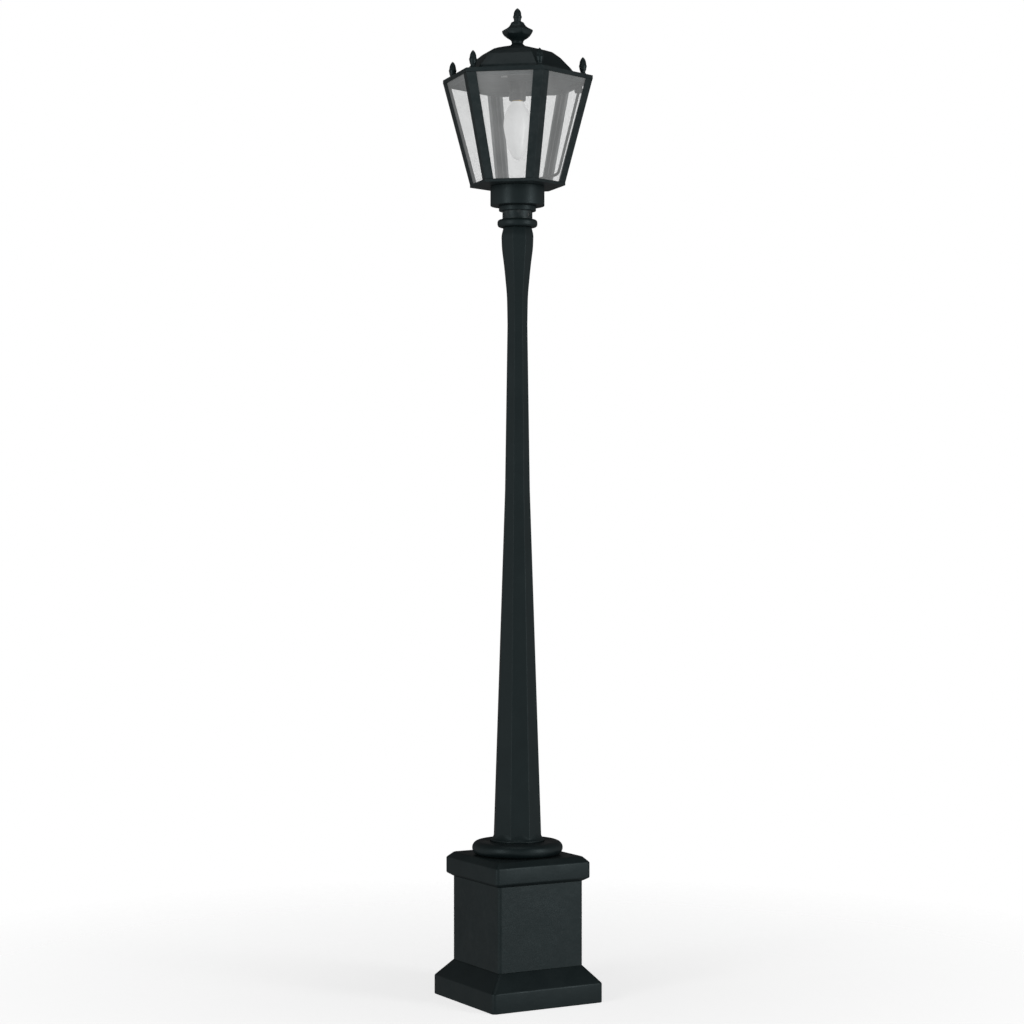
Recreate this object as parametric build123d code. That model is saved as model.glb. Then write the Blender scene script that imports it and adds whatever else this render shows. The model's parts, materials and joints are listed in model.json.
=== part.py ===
from build123d import *
import os
from math import cos, pi, radians, sin

os.makedirs("parts", exist_ok=True)

# Street lamp: a six-sided glazed lantern on an octagonal cast post with a square pedestal.
# Millimetres, +Z up, origin on the ground at the pedestal's centre, X and Y along its sides.

# ---- pedestal: outer castings ----
foot_projection = 46.5
foot_height = 62.0
slope_height = 54.5
dado_side = 310.0
dado_height = 270.5
cap_projection = 18.0
cap_under_height = 11.5
cap_face_height = 49.5
cap_bevel = 18.0
corner_round = 12.0
foot_wall = 14.0
foot_wall_thinning = 2.0
foot_flange_drop = 12.0
dado_wall = 8.0
floor_thickness = 18.0
flange_thickness = 10.0
flange_ledge = 37.0
flange_opening_round = 70.0
cap_top_thickness = 20.0
cable_entry_side = 120.0
cable_entry_round = 20.0
anchor_spacing = 180.0
anchor_hole_radius = 10.0
flange_bolt_inset = 30.0
flange_bolt_radius = 5.0
flange_bolt_across = 16.0
flange_bolt_head = 6.4
flange_nut_height = 8.0
bolt_tail = 4.0
cap_bolt_depth = 22.0
bolt_clearance = 0.15
bolt_end_gap = 2.0

# ---- service door on the +Y side ----
door_width = 190.0
door_height = 200.0
door_bottom = 150.0
door_thickness = 4.0
door_rebate = 8.0
door_gap = 1.0
door_round = 6.0
door_rim_inset = 4.0
door_rim_width = 4.0
hinge_knuckle_radius = 5.5
hinge_axis_overlap = 3.0
hinge_lug = 14.0
hinge_arm = 22.0
hinge_pin_radius = 3.0
hinge_pin_clearance = 0.06
hinge_knuckle_length = 12.0
hinge_end_gap = 0.4
pin_head_height = 2.0
pin_head_overhang = 1.5
pin_end_gap = 0.5
hinge_spacing = 120.0
lock_inset = 25.0
lock_barrel_radius = 11.0
lock_barrel_step = 3.0
lock_barrel_proud = 2.0
lock_spindle_radius = 6.0
lock_spindle_proud = 1.0
lock_key_radius = 4.5
lock_key_depth = 5.0
lock_clearance = 0.05
cam_length = 38.0
cam_width = 14.0
cam_boss = 2.0
cam_thickness = 4.0
cam_wall_gap = 3.5
cam_barrel_gap = 0.5

# ---- electrical fittings in the pedestal ----
board_width = 180.0
board_height = 210.0
board_thickness = 12.0
board_bottom = 140.0
spacer_length = 17.0
spacer_radius = 7.0
board_screw_radius = 2.5
board_screw_inset = 15.0
board_screw_tap = 6.0
board_screw_clearance = 0.1
board_screw_head = 3.0
board_screw_end = 0.5
cutout_width = 60.0
cutout_height = 110.0
cutout_depth = 36.0
cutout_bottom = 190.0
cutout_round = 4.0
carrier_width = 26.0
carrier_height = 56.0
carrier_depth = 20.0
carrier_grip = 14.0
carrier_clearance = 0.4
carrier_round = 2.0
carrier_notch_depth = 4.0
carrier_notch_width = 5.0
fuse_radius = 5.0
fuse_length = 36.0
fuse_depth = 8.0
fuse_clearance = 0.1
cable_radius = 4.5
gland_radius = 9.0
gland_height = 16.0
gland_nut_height = 8.8
gland_step = 0.9
earth_stud_radius = 4.0
earth_stud_length = 34.0
earth_stud_height = 180.0
earth_stud_seat = 4.0
earth_washer_radius = 9.6
earth_washer_height = 2.0
earth_nut_across = 13.2
earth_nut_height = 6.0
earth_nut_places = (2.0, 14.0)

# ---- post ----
ring_shoulder = 8.5
ring_tube_radius = 21.5
shaft_foot_step = 6.6
shaft_foot_gap = 0.5
shaft_lip_height = 4.0
shaft_flare_height = 34.0
shaft_flare_neck = 9.0
shaft_flare_spread = 3.5
shaft_flare_draw = 3.0
shaft_low_radius = 80.4
shaft_mid_radius = 41.8
shaft_top_radius = 33.6
shaft_low_height = 1133.0
shaft_high_height = 533.0
bulb_radii = [(50.0, 34.4), (98.0, 35.9), (147.0, 40.3), (195.0, 45.4),
              (243.0, 51.6), (275.0, 53.4), (292.0, 53.1), (316.0, 47.4)]
shaft_bore_radius = 25.0
shaft_foot_wall = 29.0
shaft_bolt_inset = 22.0
cap_bore_step = 12.0
shaft_bolt_radius = 5.0
shaft_bolt_across = 16.0
shaft_bolt_reach = 20.0
collar_radius = 64.7
collar_height = 25.0
collar_edge = 12.4
collar_land = 0.1
neck_radius = 48.5
neck_height = 27.0
disc_radius = 60.0
disc_height = 17.0
disc_edge = 3.0
cup_radius = 87.5
cup_height = 63.0
cup_wall = 6.0
cup_edge = 5.0
spigot_bore_clearance = 0.5
spigot_wall = 6.0
spigot_depth = 60.0
spigot_stand = 8.0
spigot_clearance = 0.2
grub_radius = 4.0
grub_clearance = 0.1
grub_sink = 2.0
grub_key_radius = 2.2
grub_key_depth = 3.0
grub_turns = (30, 150, 270)

# ---- lantern ----
lantern_turn = 19.4
base_radius = 157.5
base_height = 10.0
cable_hole_inset = 26.0
cable_hole_clearance = 1.8
body_height = 329.0
top_radius = 247.0
ring_fascia = 13.0
joint_gap = 0.3
bar_thickness = 3.0
bar_setback = 1.0
bar_width_low = 27.0
bar_width_high = 31.0
glass_thickness = 4.0
glass_margin = 9.0
glass_top_gap = 0.3
glass_groove_clearance = 0.2
hinge_face = 0
bead_width = 10.0
bead_thickness = 5.0
bead_setback = 3.0
rail_height = 12.0
rail_width = 25.0
rail_lip_height = 6.5
rail_lip_inset = 11.0
gasket_height = 1.5
gasket_outer_step = 2.0
gasket_inner_step = 4.0
canopy_plate = 5.0
canopy_skirt = 4.0
canopy_ledge = 9.0
roof_shoulder = 52.0
roof_wall = 4.0
crown_radius = 32.0
crown_boss = 6.0
# Roof bends: how far out from the crown towards the eaves, and the rise above the eaves.
roof_bends = [(1.0, 0.0), (0.8834, 24.0), (0.6748, 59.5), (0.5092, 79.0), (0.3589, 86.5),
              (0.2025, 93.0), (0.0, 100.5)]
tray_clearance = 4.0
tray_thickness = 2.5
tray_spacer_inset = 16.0
tray_spacer_radius = 5.0
rod_radius = 5.0
rod_clearance = 0.2
rod_top = 100.0
rod_foot = 22.0
rod_nut_across = 17.0
rod_nut_height = 8.0
stem_height = 18.0
stem_outline = [(29.0, 0.0), (24.3, 3.4), (19.5, 7.0), (18.2, 11.0), (18.4, 14.0)]
stem_top_radius = 17.5
stem_bead_radius = 2.2
stem_bead_margin = 0.3
stem_bead_circle = 17.2
knop_height = 63.5
knop_bowl = [(20.5, 0.0), (23.9, 5.2), (31.5, 9.5), (37.5, 13.5), (44.2, 19.0)]
knop_belly = [(47.0, 19.0), (49.5, 23.0), (52.0, 32.0)]
knop_facets = [(52.0, 32.0), (51.0, 35.0), (43.0, 40.0), (34.0, 44.5), (27.0, 49.0), (23.0, 54.0)]
knop_neck_radius = 19.0
knop_collar_radius = 13.5
knop_collar_height = 2.5
acorn_height = 43.0
acorn_outline = [(11.4, 0.0), (12.1, 7.3), (14.3, 15.9), (12.9, 21.5), (11.8, 28.8), (8.2, 36.1), (2.5, 42.0)]
corner_finial_inset = 32.6
corner_finial_height = 59.5
corner_finial_outline = [(10.6, 0.0), (10.9, 3.5), (10.4, 6.5), (8.0, 9.5), (8.2, 13.0), (10.6, 18.0), (11.4, 24.0),
                         (12.6, 29.5), (11.8, 34.5), (11.0, 39.5), (9.8, 45.0), (7.8, 50.0), (5.4, 54.5), (2.2, 58.5)]
holder_wall = 7.0
holder_edge = 3.0
holder_step = 6.0
holder_play = 0.2
holder_nut_overhang = 4.0
holder_nut_height = 3.0
holder_well_room = 4.0
holder_length = 62.0
lamp_cap_radius = 19.5
lamp_cap_length = 42.0
lamp_clearance = 0.5
lamp_neck_radius = 23.0
lamp_belly_radius = 45.0
lamp_belly_drop = 78.0
lamp_length = 190.0
lamp_drop = 3.0
lamp_tip_radius = 5.0
lamp_tip_height = 2.0
lamp_neck_outline = [(4.0, 0.0), (0.0, 8.0), (-9.0, 30.0)]
lamp_belly_outline = [(2.0, 18.0), (0.0, -3.0), (5.0, -40.0), (16.0, -76.0), (31.0, -100.0)]
canopy_hinge_offset = 6.0
canopy_knuckle_length = 24.0
canopy_knuckle_radius = 4.5
canopy_leaf_gap = 1.0
canopy_leaf_thickness = 3.0
canopy_hinge_spacing = 120.0
leaf_seat_gap = 0.05
catch_inset = 11.25
catch_spindle_radius = 5.0
catch_clearance = 0.1
catch_slot_length = 12.0
catch_slot_width = 1.6
catch_slot_depth = 1.5
catch_head_gap = 0.2
catch_head_radius = 9.0
catch_head_height = 3.5
catch_arm = 17.0
catch_arm_width = 10.0
catch_arm_thickness = 4.0
isolator_inset = 34.702
isolator_side = 22.0
isolator_height = 28.0
isolator_drop = 2.0
isolator_gap = 1.0
plug_step = 3.0
strap_width = 4.0
strap_height = 8.0
strap_rise = 4.0
strap_overlap = 6.0
strap_clearance = 1.4
blade_depth = 12.0
blade_width = 6.0
blade_thickness = 2.0
blade_play = 1.7
blade_side_play = 0.6
blade_end_room = 2.0
blade_pitch = 10.0
ballast_length = 110.0
ballast_width = 60.0
ballast_height = 50.0
ballast_place = -75.0
ballast_foot = 10.0
ballast_foot_height = 3.0
ballast_foot_inset = 5.0
ballast_round = 4.0
ignitor_radius = 18.0
ignitor_length = 80.0
ignitor_place = 80.0
ignitor_rise = 1.0
ignitor_base_width = 32.0
ignitor_base_length = 76.0
ignitor_base_height = 8.0

# ---- levels and places worked out from the sizes above ----
foot_side = dado_side + 2 * foot_projection
cap_side = dado_side + 2 * cap_projection
flange_opening = dado_side - 2 * flange_ledge
flange_bolt_spacing = dado_side - 2 * flange_bolt_inset
ring_centre_radius = cap_side / 2 - cap_bevel - ring_shoulder - ring_tube_radius
ring_height = 2 * ring_tube_radius
shaft_foot_radius = shaft_low_radius + shaft_foot_step
shaft_bore_foot_radius = shaft_foot_radius - shaft_foot_wall
shaft_bolt_radial = shaft_foot_radius - shaft_bolt_inset
spigot_radius = shaft_bore_radius - spigot_bore_clearance
half_turn = cos(radians(30))
eighth_turn = cos(radians(22.5))
rail_inner_radius = top_radius - rail_width
rail_lip_radius = top_radius - rail_lip_inset
roof_base_radius = top_radius - roof_shoulder
roof_profile = [(crown_radius + share * (roof_base_radius - crown_radius), rise) for share, rise in roof_bends]
canopy_opening_radius = roof_base_radius - canopy_ledge
tray_radius = rail_inner_radius - tray_clearance
spacer_circle_radius = tray_radius - tray_spacer_inset
corner_finial_circle = top_radius - corner_finial_inset
catch_apothem = rail_inner_radius * half_turn - catch_inset
holder_radius = lamp_cap_radius + lamp_clearance + holder_wall
z_slope = foot_height
z_dado = z_slope + slope_height
z_cap = z_dado + dado_height
z_cap_face = z_cap + cap_under_height
z_cap_bevel = z_cap_face + cap_face_height
z_cap_top = z_cap_bevel + cap_bevel
z_shaft = z_cap_top + ring_height
z_mid = z_shaft + shaft_low_height
z_bulb = z_mid + shaft_high_height
z_collar = z_bulb + bulb_radii[-1][0]
z_neck = z_collar + collar_height
z_disc = z_neck + neck_height
z_cup = z_disc + disc_height
z_base = z_cup + cup_height
z_bars = z_base + base_height
z_ring = z_bars + body_height
z_roof = z_ring + ring_fascia
z_crown = z_roof + roof_profile[-1][1]
z_rail = z_ring - rail_height
z_rail_lip = z_ring + rail_lip_height - joint_gap
z_plate = z_roof - canopy_plate
z_tray_top = z_ring + tray_thickness
z_flange = z_dado - foot_flange_drop
z_isolator = z_rail - isolator_drop
z_holder = z_ring - holder_length
half_dado = dado_side / 2
dado_inside = half_dado - dado_wall
door_centre_z = door_bottom + door_height / 2
rebate_width = door_width + 2 * door_rebate
rebate_height = door_height + 2 * door_rebate
door_axis_x = -rebate_width / 2 - hinge_knuckle_radius + hinge_axis_overlap
door_axis_y = half_dado + hinge_knuckle_radius
lock_x = door_width / 2 - lock_inset
board_front = -dado_inside + spacer_length + board_thickness
cutout_front = board_front + cutout_depth
flange_bolt_place = flange_bolt_spacing / 2
flange_corners = [(sx * flange_bolt_place, sy * flange_bolt_place) for sx in (-1, 1) for sy in (-1, 1)]


def save(name, shape):
    # Each sub-part goes to a file of its own.
    export_step(shape, f"parts/{name}.step")


def group(solids):
    # Separate solids kept together in one node.
    return Compound(children=list(solids))


def slab(side, z0, z1, rounding):
    # Square block with rounded upright corners.
    return extrude(Pos(0, 0, z0) * RectangleRounded(side, side, rounding), z1 - z0)


def square_taper(side0, z0, side1, z1, rounding):
    # Square block whose side changes evenly with height.
    low = Pos(0, 0, z0) * RectangleRounded(side0, side0, rounding)
    high = Pos(0, 0, z1) * RectangleRounded(side1, side1, rounding)
    return loft([low, high], ruled=True)


def rod(radius, z0, z1, x=0.0, y=0.0):
    # Upright cylinder between two levels.
    return Pos(x, y, (z0 + z1) / 2) * Cylinder(radius, z1 - z0)


def rod_y(radius, y0, y1, x, z):
    # Cylinder along Y between two places.
    return Pos(x, (y0 + y1) / 2, z) * Rot(90, 0, 0) * Cylinder(radius, y1 - y0)


def hexagon_prism(across_flats, z0, z1, x=0.0, y=0.0):
    # Bolt head or nut.
    return extrude(Pos(x, y, z0) * RegularPolygon(across_flats / 2, 6, major_radius=False), z1 - z0)


def block(x0, x1, y0, y1, z0, z1):
    # Box between two corners.
    return Pos((x0 + x1) / 2, (y0 + y1) / 2, (z0 + z1) / 2) * Box(x1 - x0, y1 - y0, z1 - z0)


def hexagon(radius, z):
    # Six-sided section with a corner on +X.
    return Pos(0, 0, z) * RegularPolygon(radius, 6)


def hexagon_loft(levels):
    # Flat-faced six-sided solid through (radius, level) pairs.
    return loft([hexagon(radius, z) for radius, z in levels], ruled=True)


def turned(points):
    # Solid of revolution about Z from an outline of (radius, level) points.
    outline = make_face(Polyline([(r, 0, z) for r, z in points], close=True))
    return revolve(outline, Axis.Z, 360)


def turned_curve(points, base_z, top_z):
    # Solid of revolution whose side is a smooth curve through (radius, level) points.
    side = Spline([(r, 0, z) for r, z in points])
    first, last = points[0], points[-1]
    ends = Polyline([(last[0], 0, last[1]), (0, 0, top_z), (0, 0, base_z), (first[0], 0, first[1])])
    return revolve(make_face([side, ends]), Axis.Z, 360)


def lantern_place(shape, angle=0.0):
    # From the lantern's own directions (a corner on +X) to the pedestal's.
    return Rot(0, 0, lantern_turn + angle) * shape


def corner_radius(z):
    # Outer corner radius of the tapered lantern body at a level.
    share = (z - z_bars) / body_height
    return base_radius + (top_radius - bar_setback - base_radius) * share


# ---- pedestal castings ----
def plinth_foot():
    inner_foot = foot_side - 2 * foot_wall
    inner_top = dado_side - 2 * (foot_wall - foot_wall_thinning)
    body = slab(foot_side, 0, z_slope, corner_round)
    body += square_taper(foot_side, z_slope, dado_side, z_dado, corner_round)
    body -= slab(inner_foot, floor_thickness, z_slope, corner_round)
    body -= square_taper(inner_foot, z_slope, inner_top, z_flange, corner_round)
    body -= slab(flange_opening, z_flange - 1, z_dado, flange_opening_round)
    body -= slab(cable_entry_side, 0, floor_thickness, cable_entry_round)
    for sx in (-1, 1):
        for sy in (-1, 1):
            body -= rod(anchor_hole_radius, 0, floor_thickness, sx * anchor_spacing / 2, sy * anchor_spacing / 2)
    for x, y in flange_corners:
        body -= rod(flange_bolt_radius + bolt_clearance, z_flange - 1, z_dado, x, y)
    return body


def pedestal_box():
    body = slab(dado_side, z_dado, z_cap, corner_round)
    inner_side = dado_side - 2 * dado_wall
    body -= slab(inner_side, z_dado + flange_thickness, z_cap - flange_thickness, corner_round - dado_wall / 2)
    body -= slab(flange_opening, z_dado, z_cap, flange_opening_round)
    opening = Pos(0, half_dado, door_centre_z) * Rot(90, 0, 0)
    body -= opening * extrude(RectangleRounded(door_width, door_height, door_round), 2 * dado_wall, both=True)
    body -= opening * extrude(RectangleRounded(rebate_width, rebate_height, door_round), door_thickness, both=True)
    for x, y in flange_corners:
        body -= rod(flange_bolt_radius + bolt_clearance, z_dado, z_cap, x, y)
    for x, z in board_screw_places():
        body -= rod_y(board_screw_radius + board_screw_clearance, -dado_inside - board_screw_tap, -dado_inside, x, z)
    for z in hinge_levels():
        top = z - hinge_end_gap / 2
        low = top - hinge_knuckle_length
        lug = block(door_axis_x - hinge_lug, door_axis_x, half_dado, door_axis_y, low, top)
        lug += rod(hinge_knuckle_radius, low, top, door_axis_x, door_axis_y)
        lug -= rod(hinge_pin_radius, low, top, door_axis_x, door_axis_y)
        body += lug
    body -= Pos(dado_inside, 0, earth_stud_height) * Rot(0, 90, 0) * Cylinder(earth_stud_radius, 2 * earth_stud_seat)
    return body


def pedestal_cap():
    body = square_taper(dado_side, z_cap, cap_side, z_cap_face, corner_round)
    body += slab(cap_side, z_cap_face, z_cap_bevel, corner_round)
    body += square_taper(cap_side, z_cap_bevel, cap_side - 2 * cap_bevel, z_cap_top, corner_round)
    body -= slab(flange_opening, z_cap, z_cap_top - cap_top_thickness, flange_opening_round)
    body -= rod(shaft_bore_foot_radius - cap_bore_step, z_cap, z_cap_top)
    for x, y in flange_corners:
        body -= rod(flange_bolt_radius + bolt_clearance, z_cap, z_cap + cap_bolt_depth, x, y)
    for x, y in shaft_bolt_places():
        body -= rod(shaft_bolt_radius + bolt_clearance, z_cap, z_cap_top, x, y)
    return body


def flange_bolts():
    # Four bolts with nuts tie the box to the foot, four more go up into the cap.
    solids = []
    for x, y in flange_corners:
        z_head = z_dado + flange_thickness
        z_nut = z_flange - flange_nut_height
        low = hexagon_prism(flange_bolt_across, z_head, z_head + flange_bolt_head, x, y)
        low += rod(flange_bolt_radius, z_nut - bolt_tail, z_head, x, y)
        nut = hexagon_prism(flange_bolt_across, z_nut, z_flange, x, y)
        nut -= rod(flange_bolt_radius, z_nut, z_flange, x, y)
        z_seat = z_cap - flange_thickness
        high = hexagon_prism(flange_bolt_across, z_seat - flange_bolt_head, z_seat, x, y)
        high += rod(flange_bolt_radius, z_seat, z_cap + cap_bolt_depth - bolt_end_gap, x, y)
        solids += [low, nut, high]
    return group(solids)


# ---- service door ----
def hinge_levels():
    return [door_centre_z - hinge_spacing / 2, door_centre_z + hinge_spacing / 2]


def access_door():
    face = Pos(0, half_dado, door_centre_z) * Rot(90, 0, 0)
    width = rebate_width - 2 * door_gap
    height = rebate_height - 2 * door_gap
    body = face * extrude(RectangleRounded(width, height, door_round), door_thickness - joint_gap)
    rim_width = door_width - 2 * door_rim_inset
    rim_height = door_height - 2 * door_rim_inset
    rim = RectangleRounded(rim_width, rim_height, door_round)
    rim -= RectangleRounded(rim_width - 2 * door_rim_width, rim_height - 2 * door_rim_width, door_round / 2)
    body += face * Pos(0, 0, door_thickness - joint_gap) * extrude(rim, dado_wall - door_thickness)
    for z in hinge_levels():
        low = z + hinge_end_gap / 2
        high = low + hinge_knuckle_length
        arm = block(door_axis_x, door_axis_x + hinge_arm, half_dado, door_axis_y, low, high)
        arm += rod(hinge_knuckle_radius, low, high, door_axis_x, door_axis_y)
        arm -= rod(hinge_pin_radius + hinge_pin_clearance, low, high, door_axis_x, door_axis_y)
        body += arm
    barrel_radius = lock_barrel_radius - lock_barrel_step
    body -= rod_y(barrel_radius, dado_inside, half_dado + lock_barrel_proud, lock_x, door_centre_z)
    return body


def door_hinge_pins():
    pins = []
    for z in hinge_levels():
        low = z - hinge_end_gap / 2 - hinge_knuckle_length
        high = z + hinge_end_gap / 2 + hinge_knuckle_length
        top = high + pin_end_gap
        pin = rod(hinge_pin_radius, low, top, door_axis_x, door_axis_y)
        pin += rod(hinge_pin_radius + pin_head_overhang, top, top + pin_head_height, door_axis_x, door_axis_y)
        pins.append(pin)
    return group(pins)


def lock_back():
    # The cam turns just behind the wall beside the opening.
    return dado_inside - cam_wall_gap


def door_lock_barrel():
    back = lock_back() + cam_barrel_gap
    front = half_dado + lock_barrel_proud
    body = rod_y(lock_barrel_radius, half_dado, front, lock_x, door_centre_z)
    body += rod_y(lock_barrel_radius - lock_barrel_step, back, half_dado, lock_x, door_centre_z)
    body -= rod_y(lock_spindle_radius + lock_clearance, back, front, lock_x, door_centre_z)
    return body


def door_lock_cam():
    back = lock_back()
    inner = back - cam_thickness
    front = half_dado + lock_spindle_proud
    half = cam_width / 2
    tip = door_centre_z - cam_length + half
    body = rod_y(lock_spindle_radius, inner, front, lock_x, door_centre_z)
    body += block(lock_x - half, lock_x + half, inner, back, tip, door_centre_z)
    body += rod_y(half, inner, back, lock_x, tip)
    body += rod_y(half + cam_boss, inner, back, lock_x, door_centre_z)
    key_recess = Pos(lock_x, front, door_centre_z) * Rot(90, 0, 0)
    body -= key_recess * extrude(RegularPolygon(lock_key_radius, 3), lock_key_depth)
    return body


# ---- electrical fittings in the pedestal ----
def board_screw_places():
    half_width = board_width / 2 - board_screw_inset
    low = board_bottom + board_screw_inset
    high = board_bottom + board_height - board_screw_inset
    return [(x, z) for x in (-half_width, half_width) for z in (low, high)]


def equipment_board():
    y0 = -dado_inside + spacer_length
    body = block(-board_width / 2, board_width / 2, y0, board_front, board_bottom, board_bottom + board_height)
    for x, z in board_screw_places():
        body -= rod_y(board_screw_radius + board_screw_clearance, y0, board_front, x, z)
    return body


def board_fixings():
    # A spacer tube and a screw at each corner of the board.
    solids = []
    for x, z in board_screw_places():
        back = -dado_inside
        spacer = rod_y(spacer_radius, back, back + spacer_length, x, z)
        spacer -= rod_y(board_screw_radius + board_screw_clearance, back, back + spacer_length, x, z)
        screw = rod_y(board_screw_radius, back - board_screw_tap + board_screw_end, board_front, x, z)
        screw += rod_y(2 * board_screw_radius, board_front, board_front + board_screw_head, x, z)
        solids += [spacer, screw]
    return group(solids)


def carrier_levels():
    middle = cutout_bottom + cutout_height / 2
    return middle - carrier_height / 2, middle + carrier_height / 2


def cutout_base():
    low, high = carrier_levels()
    gap = carrier_clearance
    body = block(-cutout_width / 2, cutout_width / 2, board_front, cutout_front,
                 cutout_bottom, cutout_bottom + cutout_height)
    body = fillet(body.edges().filter_by(Axis.Y), cutout_round)
    body -= block(-carrier_width / 2 - gap, carrier_width / 2 + gap, cutout_front - carrier_depth - gap,
                  cutout_front, low - gap, high + gap)
    return body


def fuse_carrier():
    low, high = carrier_levels()
    front = cutout_front + carrier_grip
    body = block(-carrier_width / 2, carrier_width / 2, cutout_front - carrier_depth, front, low, high)
    body = fillet(body.edges().filter_by(Axis.Z), carrier_round)
    notch_back = front - 2 * carrier_notch_width
    for side in (-1, 1):
        flank = side * carrier_width / 2
        body -= block(flank - carrier_notch_depth, flank + carrier_notch_depth, notch_back,
                      notch_back + carrier_notch_width, low, high)
    middle = (low + high) / 2
    room = fuse_radius + fuse_clearance
    reach = fuse_length / 2 + fuse_clearance
    fuse_y = cutout_front - fuse_depth
    body -= rod(room, middle - reach, middle + reach, 0, fuse_y)
    body -= block(-room, room, cutout_front - carrier_depth, fuse_y, middle - reach, middle + reach)
    return body


def fuse_link():
    low, high = carrier_levels()
    middle = (low + high) / 2
    return rod(fuse_radius, middle - fuse_length / 2, middle + fuse_length / 2, 0, cutout_front - fuse_depth)


def cable_start_y():
    return board_front + cutout_depth / 2


def cutout_gland():
    z0 = cutout_bottom + cutout_height
    body = hexagon_prism(2 * gland_radius, z0, z0 + gland_nut_height, 0, cable_start_y())
    body += rod(gland_radius - gland_step, z0 + gland_nut_height, z0 + gland_height, 0, cable_start_y())
    body -= rod(cable_radius, z0, z0 + gland_height, 0, cable_start_y())
    return body


def earth_stud():
    # Stud on the +X wall with a washer and two nuts.
    place = Pos(dado_inside, 0, earth_stud_height) * Rot(0, -90, 0)
    stud = Pos(0, 0, earth_stud_length / 2 - earth_stud_seat) * Cylinder(earth_stud_radius, earth_stud_length)
    stud += Pos(0, 0, earth_washer_height / 2) * Cylinder(earth_washer_radius, earth_washer_height)
    for z in earth_nut_places:
        stud += hexagon_prism(earth_nut_across, z, z + earth_nut_height)
    return place * stud


# ---- post ----
def base_ring():
    centre_z = z_cap_top + ring_height / 2
    inner = shaft_foot_radius + shaft_foot_gap
    body = rod(ring_centre_radius, z_cap_top, z_shaft)
    body += Pos(0, 0, centre_z) * Torus(ring_centre_radius, ring_tube_radius)
    body -= rod(inner, z_cap_top - 1, z_shaft + 1)
    return body


def shaft_bolt_places():
    turns = [radians(angle) for angle in (45, 135, 225, 315)]
    return [(shaft_bolt_radial * cos(turn), shaft_bolt_radial * sin(turn)) for turn in turns]


def octagon(radius, z):
    return Pos(0, 0, z) * RegularPolygon(radius, 8)


def shaft_vase():
    # Eight flats, each curved in height only: four slabs with the same swelling outline.
    side = [(shaft_top_radius * eighth_turn, z_bulb)]
    side += [(radius * eighth_turn, z_bulb + rise) for rise, radius in bulb_radii]
    low, top = side[0][0], side[-1][0]
    right = Spline([(x, 0, z) for x, z in side])
    left = Spline([(-x, 0, z) for x, z in side])
    ends = [Line((-low, 0, z_bulb), (low, 0, z_bulb)), Line((-top, 0, z_collar), (top, 0, z_collar))]
    slab_solid = extrude(make_face([right, left, *ends]), 2 * collar_radius, both=True)
    body = Rot(0, 0, 22.5) * slab_solid
    for angle in (67.5, 112.5, 157.5):
        body = body & (Rot(0, 0, angle) * slab_solid)
    return body


def column_shaft():
    body = loft([octagon(shaft_low_radius, z_shaft), octagon(shaft_mid_radius, z_mid)], ruled=True)
    body += loft([octagon(shaft_mid_radius, z_mid), octagon(shaft_top_radius, z_bulb)], ruled=True)
    body += shaft_vase()
    low_flat = shaft_low_radius * eighth_turn
    flare_top = z_shaft + shaft_flare_height
    lip = z_shaft + shaft_lip_height
    neck = (low_flat + shaft_flare_spread, 0, lip + shaft_flare_neck)
    tip = (low_flat - shaft_flare_draw, 0, flare_top)
    rim = (shaft_foot_radius, 0, lip)
    foot = Polyline([(0, 0, flare_top), (0, 0, z_cap_top), (shaft_foot_radius, 0, z_cap_top), rim])
    flare = Spline([rim, neck, tip], tangents=[(-0.9, 0, 0.5), (-0.05, 0, 1)])
    lid = Line(tip, (0, 0, flare_top))
    body += revolve(make_face([*foot.edges(), flare, lid]), Axis.Z, 360)
    body -= rod(shaft_bore_radius, z_cap_top, z_collar)
    bore = Pos(0, 0, (z_cap_top + z_mid) / 2) * Cone(shaft_bore_foot_radius, shaft_bore_radius, z_mid - z_cap_top)
    body -= bore
    for x, y in shaft_bolt_places():
        body -= rod(shaft_bolt_radius + bolt_clearance, z_cap_top, z_cap_top + shaft_bolt_reach, x, y)
    return body


def shaft_bolts():
    solids = []
    z_head = z_cap_top - cap_top_thickness
    for x, y in shaft_bolt_places():
        bolt = hexagon_prism(shaft_bolt_across, z_head - flange_bolt_head, z_head, x, y)
        bolt += rod(shaft_bolt_radius, z_head, z_cap_top + shaft_bolt_reach - bolt_end_gap, x, y)
        solids.append(bolt)
    return group(solids)


def collar_ring():
    body = rod(collar_radius, z_collar, z_neck)
    body = fillet(body.edges(), min(collar_edge, collar_height / 2 - collar_land))
    body -= rod(spigot_radius + spigot_clearance, z_collar - 1, z_neck + 1)
    return body


def lantern_spigot():
    low = z_collar - spigot_depth
    high = z_cup + spigot_stand
    body = rod(spigot_radius, low, high)
    body -= rod(spigot_radius - spigot_wall, low, high)
    return body


def neck_sleeve():
    body = rod(neck_radius, z_neck, z_disc) - rod(spigot_radius + spigot_clearance, z_neck, z_disc)
    for angle in grub_turns:
        place = Rot(0, 0, lantern_turn + angle) * Pos(neck_radius, 0, (z_neck + z_disc) / 2) * Rot(0, 90, 0)
        body -= place * Cylinder(grub_radius, 2 * (neck_radius - spigot_radius))
    return body


def grub_screws():
    solids = []
    inner = spigot_radius + spigot_clearance
    length = neck_radius - inner - grub_sink
    for angle in grub_turns:
        place = Rot(0, 0, lantern_turn + angle) * Pos(inner + length / 2, 0, (z_neck + z_disc) / 2) * Rot(0, 90, 0)
        screw = Cylinder(grub_radius - grub_clearance, length)
        screw -= Pos(0, 0, length / 2 - grub_key_depth) * extrude(RegularPolygon(grub_key_radius, 6), grub_key_depth)
        solids.append(place * screw)
    return group(solids)


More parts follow.
